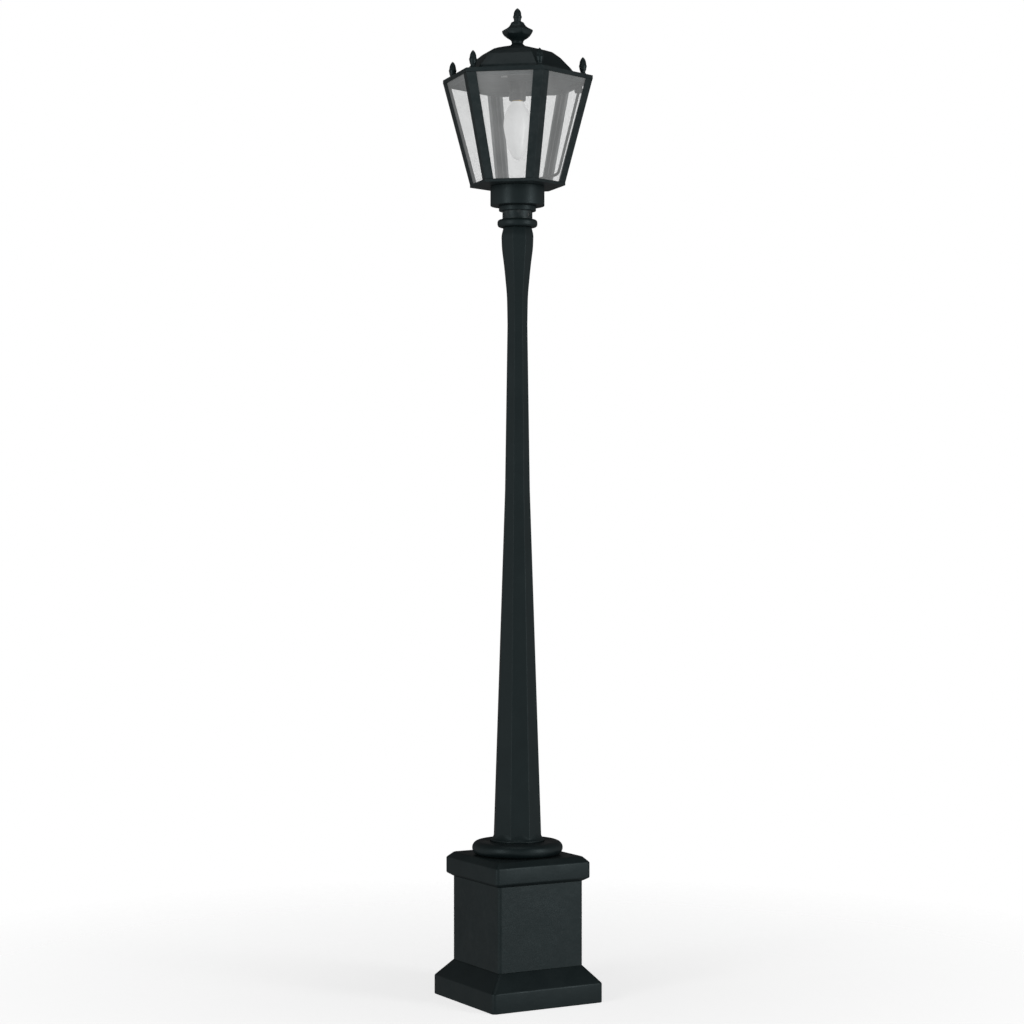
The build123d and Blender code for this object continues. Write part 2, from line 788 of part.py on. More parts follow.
def fitter_disc():
    body = rod(disc_radius, z_disc, z_cup)
    body = fillet(body.edges(), disc_edge)
    return body - rod(spigot_radius + spigot_clearance, z_disc, z_cup)


def fitter_cup():
    body = rod(cup_radius, z_cup, z_base)
    body = fillet(body.edges().sort_by(Axis.Z)[0], cup_edge)
    body -= rod(cup_radius - cup_wall, z_cup + cup_wall, z_base)
    return body - rod(spigot_radius + spigot_clearance, z_cup, z_cup + cup_wall)


# ---- lantern body ----
def cable_corner():
    return -60.0


def gland_place():
    angle = radians(cable_corner())
    reach = cup_radius - cable_hole_inset
    return reach * cos(angle), reach * sin(angle)


def base_frame():
    body = hexagon_loft([(base_radius, z_base), (base_radius, z_bars)])
    x, y = gland_place()
    body -= rod(cable_radius + cable_hole_clearance, z_base, z_bars, x, y)
    return lantern_place(body)


def corner_bar_section(z, width):
    radius = corner_radius(z)
    along = (-0.5, half_turn)
    inward = (-half_turn, -0.5)
    tip = (radius + width * along[0], width * along[1])
    tip_in = (tip[0] + bar_thickness * inward[0], tip[1] + bar_thickness * inward[1])
    corner_in = (radius - bar_thickness / half_turn, 0.0)
    points = [(radius, 0.0), tip, tip_in, corner_in, (tip_in[0], -tip_in[1]), (tip[0], -tip[1])]
    return make_face(Polyline([(x, y, z) for x, y in points], close=True))


def corner_bar():
    z_end = z_ring - joint_gap
    return loft([corner_bar_section(z_bars, bar_width_low), corner_bar_section(z_end, bar_width_high)], ruled=True)


def upright_plate(z, outer_set, thickness, half0, half1):
    # Level section of a sloping plate behind the bars, on the face whose normal is +X.
    outer = corner_radius(z) * half_turn - outer_set
    points = [(outer - thickness, half0), (outer, half0), (outer, half1), (outer - thickness, half1)]
    return make_face(Polyline([(x, y, z) for x, y in points], close=True))


def glass_pane(top):
    sections = []
    for z in (z_bars, top):
        half = corner_radius(z) / 2 - glass_margin
        sections.append(upright_plate(z, bar_thickness, glass_thickness, -half, half))
    return loft(sections, ruled=True)


def glazing_beads():
    # A bead along each side of each pane, inside the glass.
    solids = []
    for face in range(6):
        for side in (-1, 1):
            sections = []
            for z in (z_bars, z_rail):
                half = corner_radius(z) / 2 - glass_margin - bead_setback
                sections.append(upright_plate(z, bar_thickness + glass_thickness, bead_thickness,
                                              side * half, side * (half - bead_width)))
            solids.append(lantern_place(loft(sections, ruled=True), 30 + 60 * face))
    return group(solids)


def rail_groove():
    # Open slot in the rail's outer face for the upper edge of a pane.
    sections = []
    for z in (z_rail, z_ring):
        half = corner_radius(z) / 2 - glass_margin + glass_groove_clearance
        depth = bar_thickness + glass_thickness + glass_groove_clearance
        sections.append(upright_plate(z, 0, depth, -half, half))
    return loft(sections, ruled=True)


def top_rail():
    # The rear face stays whole behind the hinge leaves, so its pane ends under the rail.
    inset = bar_thickness / half_turn
    z_seat = z_ring - joint_gap
    body = hexagon_loft([(corner_radius(z_rail) - inset, z_rail), (corner_radius(z_seat) - inset, z_seat)])
    body += hexagon_loft([(rail_lip_radius, z_seat), (rail_lip_radius, z_rail_lip - gasket_height)])
    body -= hexagon_loft([(rail_inner_radius, z_rail), (rail_inner_radius, z_rail_lip)])
    for face in range(6):
        if face != hinge_face:
            body -= Rot(0, 0, 30 + 60 * face) * rail_groove()
    return lantern_place(body)


def canopy_gasket():
    outer = rail_lip_radius - gasket_outer_step
    inner = rail_inner_radius + gasket_inner_step
    body = hexagon_loft([(outer, z_rail_lip - gasket_height), (outer, z_rail_lip)])
    body -= hexagon_loft([(inner, z_rail_lip - gasket_height), (inner, z_rail_lip)])
    return lantern_place(body)


# ---- canopy ----
def canopy_ring():
    inset = canopy_skirt / half_turn
    body = hexagon_loft([(top_radius, z_ring), (top_radius, z_roof)])
    body -= hexagon_loft([(top_radius - inset, z_ring), (top_radius - inset, z_plate)])
    body -= hexagon_loft([(canopy_opening_radius, z_plate), (canopy_opening_radius, z_roof)])
    body -= Rot(0, 0, 210) * rod(catch_spindle_radius + catch_clearance, z_plate, z_roof, catch_apothem, 0)
    return lantern_place(body)


def roof_dome():
    outer = hexagon_loft([(radius, z_roof + rise) for radius, rise in roof_profile])
    inner = hexagon_loft([(radius - roof_wall / half_turn, z_roof + rise - (roof_wall if rise else 0))
                          for radius, rise in roof_profile])
    body = outer - inner
    body += hexagon_loft([(crown_radius + crown_boss, z_crown - crown_boss), (crown_radius, z_crown)])
    body -= rod(rod_radius + rod_clearance, z_crown - rod_foot, z_crown)
    return lantern_place(body)


def ceiling_tray():
    body = hexagon_loft([(tray_radius, z_ring), (tray_radius, z_tray_top)])
    body -= rod(holder_radius - holder_step, z_ring, z_tray_top)
    body -= Rot(0, 0, 210) * rod(catch_spindle_radius + catch_clearance, z_ring, z_tray_top, catch_apothem, 0)
    return lantern_place(body)


def tray_spacers():
    solids = []
    for corner in range(6):
        spacer = rod(tray_spacer_radius, z_tray_top, z_plate, spacer_circle_radius, 0)
        solids.append(lantern_place(spacer, 60 * corner))
    return group(solids)


def finial_stem():
    z = z_crown
    points = [(radius, z + rise) for radius, rise in stem_outline]
    z_waist = points[-1][1]
    body = turned_curve(points, z, z_waist)
    z_bead = z + stem_height - stem_bead_radius - stem_bead_margin
    body += Pos(0, 0, z_bead) * Torus(stem_bead_circle, stem_bead_radius)
    body += rod(stem_top_radius, z_waist - 1, z + stem_height)
    return body - rod(rod_radius + rod_clearance, z, z + stem_height)


def finial_knop():
    # A round bowl that rises into a six-sided knop with hollow upper facets.
    z = z_crown + stem_height
    bowl = [(radius, z + rise) for radius, rise in knop_bowl]
    body = turned_curve(bowl, z, bowl[-1][1])
    body += hexagon_loft([(radius, z + rise) for radius, rise in knop_belly])
    body += hexagon_loft([(radius, z + rise) for radius, rise in knop_facets])
    z_step = z + knop_height - knop_collar_height
    body += rod(knop_neck_radius, z + knop_facets[-1][1] - 1, z_step)
    body += rod(knop_collar_radius, z_step - 1, z + knop_height)
    return lantern_place(body - rod(rod_radius + rod_clearance, z, z + knop_height))


def finial_acorn():
    z = z_crown + stem_height + knop_height
    points = [(radius, z + rise) for radius, rise in acorn_outline]
    body = turned_curve(points, z, z + acorn_height)
    return body - rod(rod_radius, z, z_crown + rod_top)


def finial_rod():
    z_nut = z_crown - crown_boss - rod_nut_height
    body = rod(rod_radius, z_crown - rod_foot, z_crown + rod_top)
    body += hexagon_prism(rod_nut_across, z_nut, z_nut + rod_nut_height)
    return body


def corner_finials():
    z = z_roof
    points = [(radius, z + rise) for radius, rise in corner_finial_outline]
    acorn = Pos(corner_finial_circle, 0, 0) * turned_curve(points, z, z + corner_finial_height)
    return group([lantern_place(acorn, 60 * corner) for corner in range(6)])


# ---- gear under the canopy ----
def ballast():
    z = z_tray_top
    x0 = ballast_place - ballast_width / 2
    x1 = ballast_place + ballast_width / 2
    half = ballast_length / 2
    body = block(x0, x1, -half, half, z, z + ballast_height)
    body = fillet(body.edges().filter_by(Axis.Y), ballast_round)
    body += block(x0 + ballast_foot_inset, x1 - ballast_foot_inset, -half - ballast_foot, half + ballast_foot,
                  z, z + ballast_foot_height)
    return lantern_place(body)


def ignitor():
    place = Pos(ignitor_place, 0, z_tray_top + ignitor_radius + ignitor_rise) * Rot(90, 0, 0)
    half_width = ignitor_base_width / 2
    half_length = ignitor_base_length / 2
    body = place * Cylinder(ignitor_radius, ignitor_length)
    body += block(ignitor_place - half_width, ignitor_place + half_width, -half_length, half_length,
                  z_tray_top, z_tray_top + ignitor_base_height)
    return lantern_place(body)


def lampholder():
    body = rod(holder_radius, z_holder, z_ring)
    body = fillet(body.edges().sort_by(Axis.Z)[0], holder_edge)
    body += rod(holder_radius - holder_step - holder_play, z_ring, z_tray_top)
    body += rod(holder_radius + holder_nut_overhang, z_tray_top, z_tray_top + holder_nut_height)
    body -= rod(lamp_cap_radius + lamp_clearance, z_holder, z_holder + lamp_cap_length + holder_well_room)
    return body


def lamp_cap():
    return rod(lamp_cap_radius, z_holder - lamp_drop, z_holder + lamp_cap_length)


def lamp_envelope():
    z = z_holder - lamp_drop
    belly = z_holder - lamp_belly_drop
    tip = z_holder - lamp_length
    points = [(lamp_neck_radius - neck_step, z - drop) for neck_step, drop in lamp_neck_outline]
    points += [(lamp_belly_radius - belly_step, belly + rise) for belly_step, rise in lamp_belly_outline]
    points.append((lamp_tip_radius, tip + lamp_tip_height))
    return turned_curve(points, z, tip)


# ---- canopy hinge and catch ----
def hinge_x():
    return top_radius * half_turn + canopy_hinge_offset


def hinge_z():
    return z_ring - joint_gap / 2


def canopy_hinge_spans():
    # Middles of the two hinges along the rear face.
    return [-canopy_hinge_spacing / 2, canopy_hinge_spacing / 2]


def canopy_knuckle(y0, y1, bore):
    place = Pos(hinge_x(), (y0 + y1) / 2, hinge_z()) * Rot(90, 0, 0)
    return place * Cylinder(canopy_knuckle_radius, y1 - y0), place * Cylinder(bore, y1 - y0 + 1)


def canopy_hinge_fixed():
    # Middle knuckle with its leaf and the pin that is pressed into it.
    solids = []
    outer = rail_face_x()
    for y in canopy_hinge_spans():
        half = canopy_knuckle_length / 2
        knuckle = canopy_knuckle(y - half, y + half, hinge_pin_radius)[0]
        low = hinge_z() - canopy_knuckle_radius
        leaf = block(outer, hinge_x(), y - half, y + half, low, hinge_z() - canopy_leaf_gap)
        reach = half + hinge_end_gap + hinge_knuckle_length + pin_end_gap
        pin = Pos(hinge_x(), y, hinge_z()) * Rot(90, 0, 0) * Cylinder(hinge_pin_radius, 2 * reach)
        solids.append(lantern_place(knuckle + leaf + pin, 30))
    return group(solids)


def rail_face_x():
    # Where the fixed leaves meet the rail's sloping face.
    return corner_radius(z_ring - canopy_leaf_gap) * half_turn - bar_thickness + leaf_seat_gap


def canopy_hinge_moving():
    solids = []
    half = canopy_knuckle_length / 2
    face = top_radius * half_turn
    for y in canopy_hinge_spans():
        for side in (-1, 1):
            y0 = y + side * (half + hinge_end_gap)
            y1 = y0 + side * hinge_knuckle_length
            low, high = min(y0, y1), max(y0, y1)
            knuckle, hole = canopy_knuckle(low, high, hinge_pin_radius + hinge_pin_clearance)
            leaf = block(face, hinge_x(), low, high, hinge_z(), hinge_z() + canopy_knuckle_radius)
            leaf += block(face, face + canopy_leaf_thickness, low, high, hinge_z(), z_roof - canopy_leaf_gap)
            solids.append(lantern_place(knuckle + leaf - hole, 30))
    return group(solids)


def canopy_catch():
    z_arm = z_rail - joint_gap - catch_arm_thickness
    body = rod(catch_spindle_radius, z_arm, z_roof, catch_apothem, 0)
    z_top = z_roof + catch_head_height
    body += rod(catch_head_radius, z_roof + catch_head_gap, z_top, catch_apothem, 0)
    body += rod(catch_spindle_radius, z_roof, z_roof + catch_head_gap, catch_apothem, 0)
    body += block(catch_apothem - catch_arm_width / 2, catch_apothem + catch_arm_width / 2, -catch_arm, 0,
                  z_arm, z_arm + catch_arm_thickness)
    half_slot = catch_slot_length / 2
    body -= block(catch_apothem - half_slot, catch_apothem + half_slot, -catch_slot_width / 2, catch_slot_width / 2,
                  z_top - catch_slot_depth, z_top)
    return lantern_place(body, 210)


def isolator_at(solid):
    # Blocks at the cable corner, squared to the hinge so that the blades draw straight out.
    angle = radians(cable_corner())
    place = Pos(isolator_radius() * cos(angle), isolator_radius() * sin(angle), 0) * Rot(0, 0, 30)
    return lantern_place(place * solid)


def isolator_radius():
    # Set in from the lantern's sloping corner at the socket's foot.
    return corner_radius(z_isolator - isolator_height) - isolator_inset


def blade_places():
    return [-blade_pitch / 2, blade_pitch / 2]


def isolator_socket():
    top = z_isolator
    half = isolator_side / 2
    half_slot = blade_width / 2 + blade_play
    half_gap = blade_thickness / 2 + blade_side_play
    body = block(-half, half, -half, half, top - isolator_height, top)
    for y in blade_places():
        body -= block(-half_slot, half_slot, y - half_gap, y + half_gap, top - blade_depth - blade_end_room, top)
    return isolator_at(body) + isolator_strap()


def isolator_strap():
    # Flat strap from the socket to the bar of its corner, between the two beads.
    low = z_isolator - isolator_height + strap_rise
    outer = corner_radius(low) - bar_thickness / half_turn - strap_clearance
    inner = isolator_radius() + isolator_side / 2 - strap_overlap
    strap = block(inner, outer, -strap_width / 2, strap_width / 2, low, low + strap_height)
    return lantern_place(strap, cable_corner())


def isolator_plug():
    low = z_isolator + isolator_gap
    half = isolator_side / 2 - plug_step
    body = block(-half, half, -half, half, low, z_ring)
    for y in blade_places():
        body += block(-blade_width / 2, blade_width / 2, y - blade_thickness / 2, y + blade_thickness / 2,
                      z_isolator - blade_depth, low)
    return isolator_at(body)


# ---- supply cable ----
def supply_cable():
    y0 = cable_start_y()
    z0 = cutout_bottom + cutout_height
    gx, gy = gland_place()
    angle = radians(cable_corner())
    foot = corner_radius(z_bars) - 24
    socket_bottom = z_isolator - isolator_height
    turn = radians(lantern_turn)

    def placed(x, y, z):
        return (x * cos(turn) - y * sin(turn), x * sin(turn) + y * cos(turn), z)

    # Bend points as the cable runs: up from the gland, into the bore, along it, out to the corner, up the bar.
    points = [(0, y0, z0), (0, y0, z0 + 62), (0, 0, z_cap_top - 20), (0, 0, z_cup + 10),
              placed(gx, gy, z_base - 10), placed(gx, gy, z_bars + 12),
              placed(foot * cos(angle), foot * sin(angle), z_bars + 26),
              placed(isolator_radius() * cos(angle), isolator_radius() * sin(angle), socket_bottom)]
    radii = [60, 90, 30, 14, 12, 20]
    path = FilletPolyline(points, radius=radii)
    profile = Plane(origin=points[0], z_dir=(0, 0, 1)) * Circle(cable_radius)
    cable = sweep(profile, path=path)
    full_volume = pi * cable_radius ** 2 * path.length
    print("cable length", round(path.length, 1), "share of a full rod", round(cable.volume / full_volume, 4))
    return cable


save("plinth_foot", plinth_foot())
save("pedestal_box", pedestal_box())
save("pedestal_cap", pedestal_cap())
save("flange_bolts", flange_bolts())
save("access_door", access_door())
save("door_hinge_pins", door_hinge_pins())
save("door_lock_barrel", door_lock_barrel())
save("door_lock_cam", door_lock_cam())
save("equipment_board", equipment_board())
save("board_fixings", board_fixings())
save("cutout_base", cutout_base())
save("fuse_carrier", fuse_carrier())
save("fuse_link", fuse_link())
save("cutout_gland", cutout_gland())
save("earth_stud", earth_stud())
save("base_ring", base_ring())
save("column_shaft", column_shaft())
save("shaft_bolts", shaft_bolts())
save("collar_ring", collar_ring())
save("lantern_spigot", lantern_spigot())
save("neck_sleeve", neck_sleeve())
save("grub_screws", grub_screws())
save("fitter_disc", fitter_disc())
save("fitter_cup", fitter_cup())
save("base_frame", base_frame())
for number in range(6):
    save(f"corner_bar_{number + 1}", lantern_place(corner_bar(), 60 * number))
    pane_top = z_rail if number == hinge_face else z_ring - joint_gap - glass_top_gap
    save(f"glass_pane_{number + 1}", lantern_place(glass_pane(pane_top), 30 + 60 * number))
save("glazing_beads", glazing_beads())
save("top_rail", top_rail())
save("canopy_gasket", canopy_gasket())
save("corner_finials", corner_finials())
save("canopy_ring", canopy_ring())
save("roof_dome", roof_dome())
save("ceiling_tray", ceiling_tray())
save("tray_spacers", tray_spacers())
save("finial_stem", finial_stem())
save("finial_knop", finial_knop())
save("finial_acorn", finial_acorn())
save("finial_rod", finial_rod())
save("ballast", ballast())
save("ignitor", ignitor())
save("lampholder", lampholder())
save("lamp_cap", lamp_cap())
save("lamp_envelope", lamp_envelope())
save("canopy_hinge_fixed", canopy_hinge_fixed())
save("canopy_hinge_moving", canopy_hinge_moving())
save("canopy_catch", canopy_catch())
save("isolator_socket", isolator_socket())
save("isolator_plug", isolator_plug())
save("supply_cable", supply_cable())
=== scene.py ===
import json
import math

import bmesh
import bpy
import numpy as np
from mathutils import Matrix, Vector


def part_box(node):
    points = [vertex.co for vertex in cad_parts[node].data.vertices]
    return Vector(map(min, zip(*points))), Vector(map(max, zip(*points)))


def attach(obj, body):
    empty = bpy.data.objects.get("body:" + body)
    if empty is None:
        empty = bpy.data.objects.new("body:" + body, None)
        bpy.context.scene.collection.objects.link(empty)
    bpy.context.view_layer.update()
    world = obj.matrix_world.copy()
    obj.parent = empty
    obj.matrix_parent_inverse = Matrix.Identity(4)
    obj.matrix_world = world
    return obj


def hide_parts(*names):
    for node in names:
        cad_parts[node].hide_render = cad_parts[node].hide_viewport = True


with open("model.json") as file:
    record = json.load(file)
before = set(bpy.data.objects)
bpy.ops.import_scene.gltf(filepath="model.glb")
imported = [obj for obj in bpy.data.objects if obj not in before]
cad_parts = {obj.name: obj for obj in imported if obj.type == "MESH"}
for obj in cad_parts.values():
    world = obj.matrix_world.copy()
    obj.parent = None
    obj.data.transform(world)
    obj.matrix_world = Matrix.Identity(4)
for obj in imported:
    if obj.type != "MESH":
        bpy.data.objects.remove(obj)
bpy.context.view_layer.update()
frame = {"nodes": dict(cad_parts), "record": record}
nodes = frame["nodes"]
print("stage: frame loaded,", len(nodes), "nodes")

# Metres; Z is up, X and Y run along the pedestal's sides.
lanternTurn = math.radians(19.4)  # the lantern's corners against the pedestal's X


# Finishes. Each pattern is worked out on the piece's own coordinates.

noiseRange = (0.3, 0.7)  # where most of a noise's values lie


def newMaterial(name):
    material = bpy.data.materials.new(name)
    material.use_nodes = True
    return material, material.node_tree


def addNode(tree, kind, **values):
    node = tree.nodes.new(kind)
    for key, value in values.items():
        setattr(node, key, value)
    return node


def noiseAt(tree, scale, detail=4.0, roughness=0.55, stretch=(1, 1, 1)):
    # Noise on the object's own coordinates, scale in bumps per metre.
    coordinates = addNode(tree, "ShaderNodeTexCoord")
    mapping = addNode(tree, "ShaderNodeMapping")
    mapping.inputs["Scale"].default_value = stretch
    noise = addNode(tree, "ShaderNodeTexNoise")
    noise.inputs["Scale"].default_value = scale
    noise.inputs["Detail"].default_value = detail
    noise.inputs["Roughness"].default_value = roughness
    tree.links.new(coordinates.outputs["Object"], mapping.inputs["Vector"])
    tree.links.new(mapping.outputs["Vector"], noise.inputs["Vector"])
    return noise.outputs["Fac"]


def ramp(tree, value, stops):
    # Colour ramp with stops of (position, colour).
    node = addNode(tree, "ShaderNodeValToRGB")
    node.color_ramp.elements[0].position = stops[0][0]
    node.color_ramp.elements[0].color = (*stops[0][1], 1)
    node.color_ramp.elements[1].position = stops[-1][0]
    node.color_ramp.elements[1].color = (*stops[-1][1], 1)
    for position, colour in stops[1:-1]:
        node.color_ramp.elements.new(position).color = (*colour, 1)
    tree.links.new(value, node.inputs["Fac"])
    return node.outputs["Color"]


def span(tree, value, low, high, fromLow=0.0, fromHigh=1.0):
    # Value carried from one range to another.
    node = addNode(tree, "ShaderNodeMapRange")
    node.inputs["From Min"].default_value = fromLow
    node.inputs["From Max"].default_value = fromHigh
    node.inputs["To Min"].default_value = low
    node.inputs["To Max"].default_value = high
    tree.links.new(value, node.inputs["Value"])
    return node.outputs["Result"]


def blendColours(tree, share, first, second):
    node = addNode(tree, "ShaderNodeMix", data_type="RGBA")
    for socket, value in ((node.inputs["A"], first), (node.inputs["B"], second)):
        if isinstance(value, tuple):
            socket.default_value = (*value, 1)
        else:
            tree.links.new(value, socket)
    tree.links.new(share, node.inputs["Factor"])
    return node.outputs["Result"]


def bumps(tree, shader, layers):
    # Each layer is (height, distance in metres, strength), one on the other.
    normal = None
    for height, distance, strength in layers:
        node = addNode(tree, "ShaderNodeBump")
        node.inputs["Distance"].default_value = distance
        node.inputs["Strength"].default_value = strength
        tree.links.new(height, node.inputs["Height"])
        if normal is not None:
            tree.links.new(normal, node.inputs["Normal"])
        normal = node.outputs["Normal"]
    tree.links.new(normal, shader.inputs["Normal"])


def edgeWear(tree, low, high):
    # Share of worn paint: high on convex edges, broken up by noise.
    geometry = addNode(tree, "ShaderNodeNewGeometry")
    edge = span(tree, geometry.outputs["Pointiness"], 0.0, 1.0, low, high)
    mask = span(tree, noiseAt(tree, 45, 6, 0.65), 0.0, 1.0, 0.42, 0.62)
    product = addNode(tree, "ShaderNodeMath", operation="MULTIPLY")
    tree.links.new(edge, product.inputs[0])
    tree.links.new(mask, product.inputs[1])
    return product.outputs["Value"]


def topDust(tree, amount):
    # Share of dust: upward faces only, patchy.
    geometry = addNode(tree, "ShaderNodeNewGeometry")
    parts = addNode(tree, "ShaderNodeSeparateXYZ")
    tree.links.new(geometry.outputs["Normal"], parts.inputs["Vector"])
    up = span(tree, parts.outputs["Z"], 0.0, amount, 0.55, 1.0)
    patch = span(tree, noiseAt(tree, 14, 5, 0.6), 0.35, 1.0, 0.35, 0.65)
    product = addNode(tree, "ShaderNodeMath", operation="MULTIPLY")
    tree.links.new(up, product.inputs[0])
    tree.links.new(patch, product.inputs[1])
    return product.outputs["Value"]


def paint(name, look):
    # Satin paint: a slow drift of tone, patches of wear, fine orange peel over a cast or rolled surface.
    material, tree = newMaterial(name)
    shader = tree.nodes["Principled BSDF"]
    tone = ramp(tree, noiseAt(tree, look["patchScale"], 6, 0.6),
                [(0.3, look["dark"]), (0.5, look["mid"]), (0.72, look["light"])])
    worn = blendColours(tree, edgeWear(tree, *look["wear"]), tone, look["worn"])
    dusty = blendColours(tree, topDust(tree, look["dust"]), worn, look["dustColour"])
    tree.links.new(dusty, shader.inputs["Base Color"])
    gloss = span(tree, noiseAt(tree, look["glossScale"], 5, 0.6), *look["roughness"], *noiseRange)
    tree.links.new(gloss, shader.inputs["Roughness"])
    shader.inputs["Specular IOR Level"].default_value = look["specular"]
    shader.inputs["Specular Tint"].default_value = look["glossTint"]
    bumps(tree, shader, [(noiseAt(tree, look["castScale"], 3, 0.5), look["castDepth"], look["castStrength"]),
                         (noiseAt(tree, look["peelScale"], 2, 0.5), look["peelDepth"], look["peelStrength"])])
    return material


ironLook = {
    "patchScale": 9.0, "dark": (0.0065, 0.0125, 0.0138), "mid": (0.0085, 0.0155, 0.0168),
    "light": (0.0115, 0.0195, 0.0208),
    "wear": (0.52, 0.60), "worn": (0.045, 0.052, 0.054),
    "dust": 0.22, "dustColour": (0.05, 0.055, 0.055),
    "glossScale": 16.0, "roughness": (0.36, 0.50), "specular": 0.42, "glossTint": (0.80, 0.97, 1.0, 1.0),
    "castScale": 55.0, "castDepth": 0.0010, "castStrength": 0.5,
    "peelScale": 620.0, "peelDepth": 0.00012, "peelStrength": 0.35,
}
lanternLook = dict(ironLook, patchScale=16.0, roughness=(0.34, 0.46), castScale=90.0, castDepth=0.0004)
doorLook = dict(ironLook, patchScale=12.0, castDepth=0.0005, worn=ironLook["light"])
innerLook = dict(ironLook, dark=(0.020, 0.022, 0.023), mid=(0.026, 0.029, 0.030), light=(0.034, 0.037, 0.038),
                 roughness=(0.55, 0.72), specular=0.3, dust=0.1)

paintedIron = paint("painted iron", ironLook)
paintedLantern = paint("painted lantern", lanternLook)
paintedDoor = paint("painted door", doorLook)
paintedInside = paint("painted inside", innerLook)


def metal(name, colour, roughness, streak, tint):
    # Bare metal: fine streaks or grains, a slow stain, roughness that follows the grain.
    material, tree = newMaterial(name)
    shader = tree.nodes["Principled BSDF"]
    shader.inputs["Metallic"].default_value = 1.0
    stain = noiseAt(tree, 60, 5, 0.6)
    stained = blendColours(tree, span(tree, stain, 0.0, 1.0, 0.35, 0.75), colour, tint)
    tree.links.new(stained, shader.inputs["Base Color"])
    grain = noiseAt(tree, 900, 3, 0.6, streak)
    tree.links.new(span(tree, grain, *roughness, *noiseRange), shader.inputs["Roughness"])
    bumps(tree, shader, [(grain, 0.00006, 0.4)])
    return material


zinc = metal("zinc plated steel", (0.50, 0.51, 0.51), (0.30, 0.48), (1, 1, 1), (0.38, 0.38, 0.35))
stainless = metal("stainless steel", (0.60, 0.60, 0.59), (0.20, 0.36), (1, 8, 1), (0.50, 0.49, 0.47))
brass = metal("brass", (0.68, 0.48, 0.20), (0.24, 0.42), (1, 1, 6), (0.42, 0.28, 0.12))


def moulded(name, dark, light, roughness, grainScale, grainDepth):
    # Moulded plastic, rubber or glazed clay: fine grain, faint cloudiness.
    material, tree = newMaterial(name)
    shader = tree.nodes["Principled BSDF"]
    tree.links.new(ramp(tree, noiseAt(tree, 30, 4, 0.5), [(0.3, dark), (0.7, light)]), shader.inputs["Base Color"])
    tree.links.new(span(tree, noiseAt(tree, 80, 3, 0.5), *roughness, *noiseRange), shader.inputs["Roughness"])
    bumps(tree, shader, [(noiseAt(tree, grainScale, 2, 0.5), grainDepth, 0.4)])
    return material


blackPlastic = moulded("black plastic", (0.012, 0.012, 0.013), (0.02, 0.02, 0.021), (0.42, 0.58), 1400, 0.00005)
rubber = moulded("rubber", (0.010, 0.010, 0.010), (0.018, 0.018, 0.017), (0.6, 0.8), 700, 0.0001)
fuseClay = moulded("fuse clay", (0.70, 0.67, 0.60), (0.80, 0.77, 0.70), (0.15, 0.3), 300, 0.00003)
holderClay = moulded("holder clay", (0.030, 0.031, 0.032), (0.045, 0.046, 0.047), (0.25, 0.4), 300, 0.00004)
gearSteel = moulded("gear steel", (0.10, 0.105, 0.11), (0.15, 0.155, 0.16), (0.4, 0.55), 500, 0.00006)


def boardWood():
    # Varnished plywood: rings stretched along the board.
    material, tree = newMaterial("varnished board")
    shader = tree.nodes["Principled BSDF"]
    grain = noiseAt(tree, 26, 6, 0.6, (1, 1, 0.12))
    tone = ramp(tree, grain, [(0.3, (0.20, 0.12, 0.06)), (0.5, (0.33, 0.22, 0.12)), (0.7, (0.42, 0.30, 0.17))])
    tree.links.new(tone, shader.inputs["Base Color"])
    tree.links.new(span(tree, grain, 0.32, 0.5, *noiseRange), shader.inputs["Roughness"])
    bumps(tree, shader, [(grain, 0.0003, 0.3)])
    return material


# The glow entries are a painted glow: white emission that stands in for light falling on the glass.
paneLook = {"filmScale": 7, "thin": (0.60, 0.61, 0.61), "thick": (0.72, 0.73, 0.73), "veil": (0.16, 0.21),
            "paintedGlow": 0.17, "paintedGlowColour": (0.97, 1.0, 1.0, 1), "roughness": (0.04, 0.10), "wave": (0.0003, 0.04)}


def paneGlass():
    # Thin glass with a grey veil: mostly see-through, a film of dust that thickens in patches, and a faint white
    # painted glow that stands in for light falling on the glass.
    look = paneLook
    material, tree = newMaterial("pane glass")
    shader = tree.nodes["Principled BSDF"]
    film = noiseAt(tree, look["filmScale"], 5, 0.6)
    tree.links.new(ramp(tree, film, [(0.3, look["thin"]), (0.7, look["thick"])]), shader.inputs["Base Color"])
    tree.links.new(span(tree, film, *look["veil"], *noiseRange), shader.inputs["Alpha"])
    # Painted glow: white emission in the pane that stands in for light falling on it.
    shader.inputs["Emission Color"].default_value = look["paintedGlowColour"]
    shader.inputs["Emission Strength"].default_value = look["paintedGlow"]
    gloss = span(tree, noiseAt(tree, 30, 3, 0.5), *look["roughness"], *noiseRange)
    tree.links.new(gloss, shader.inputs["Roughness"])
    bumps(tree, shader, [(noiseAt(tree, 4, 2, 0.4), *look["wave"])])
    return material


# The glow entry is a painted glow: white emission that stands in for daylight through the unlit lamp.
lampLook = {"coatScale": 22, "thin": (0.70, 0.71, 0.71), "thick": (0.80, 0.81, 0.81), "roughness": (0.22, 0.34),
            "paintedGlow": 0.54, "gloss": 0.5, "glossRoughness": 0.05, "grain": (0.00004, 0.3)}


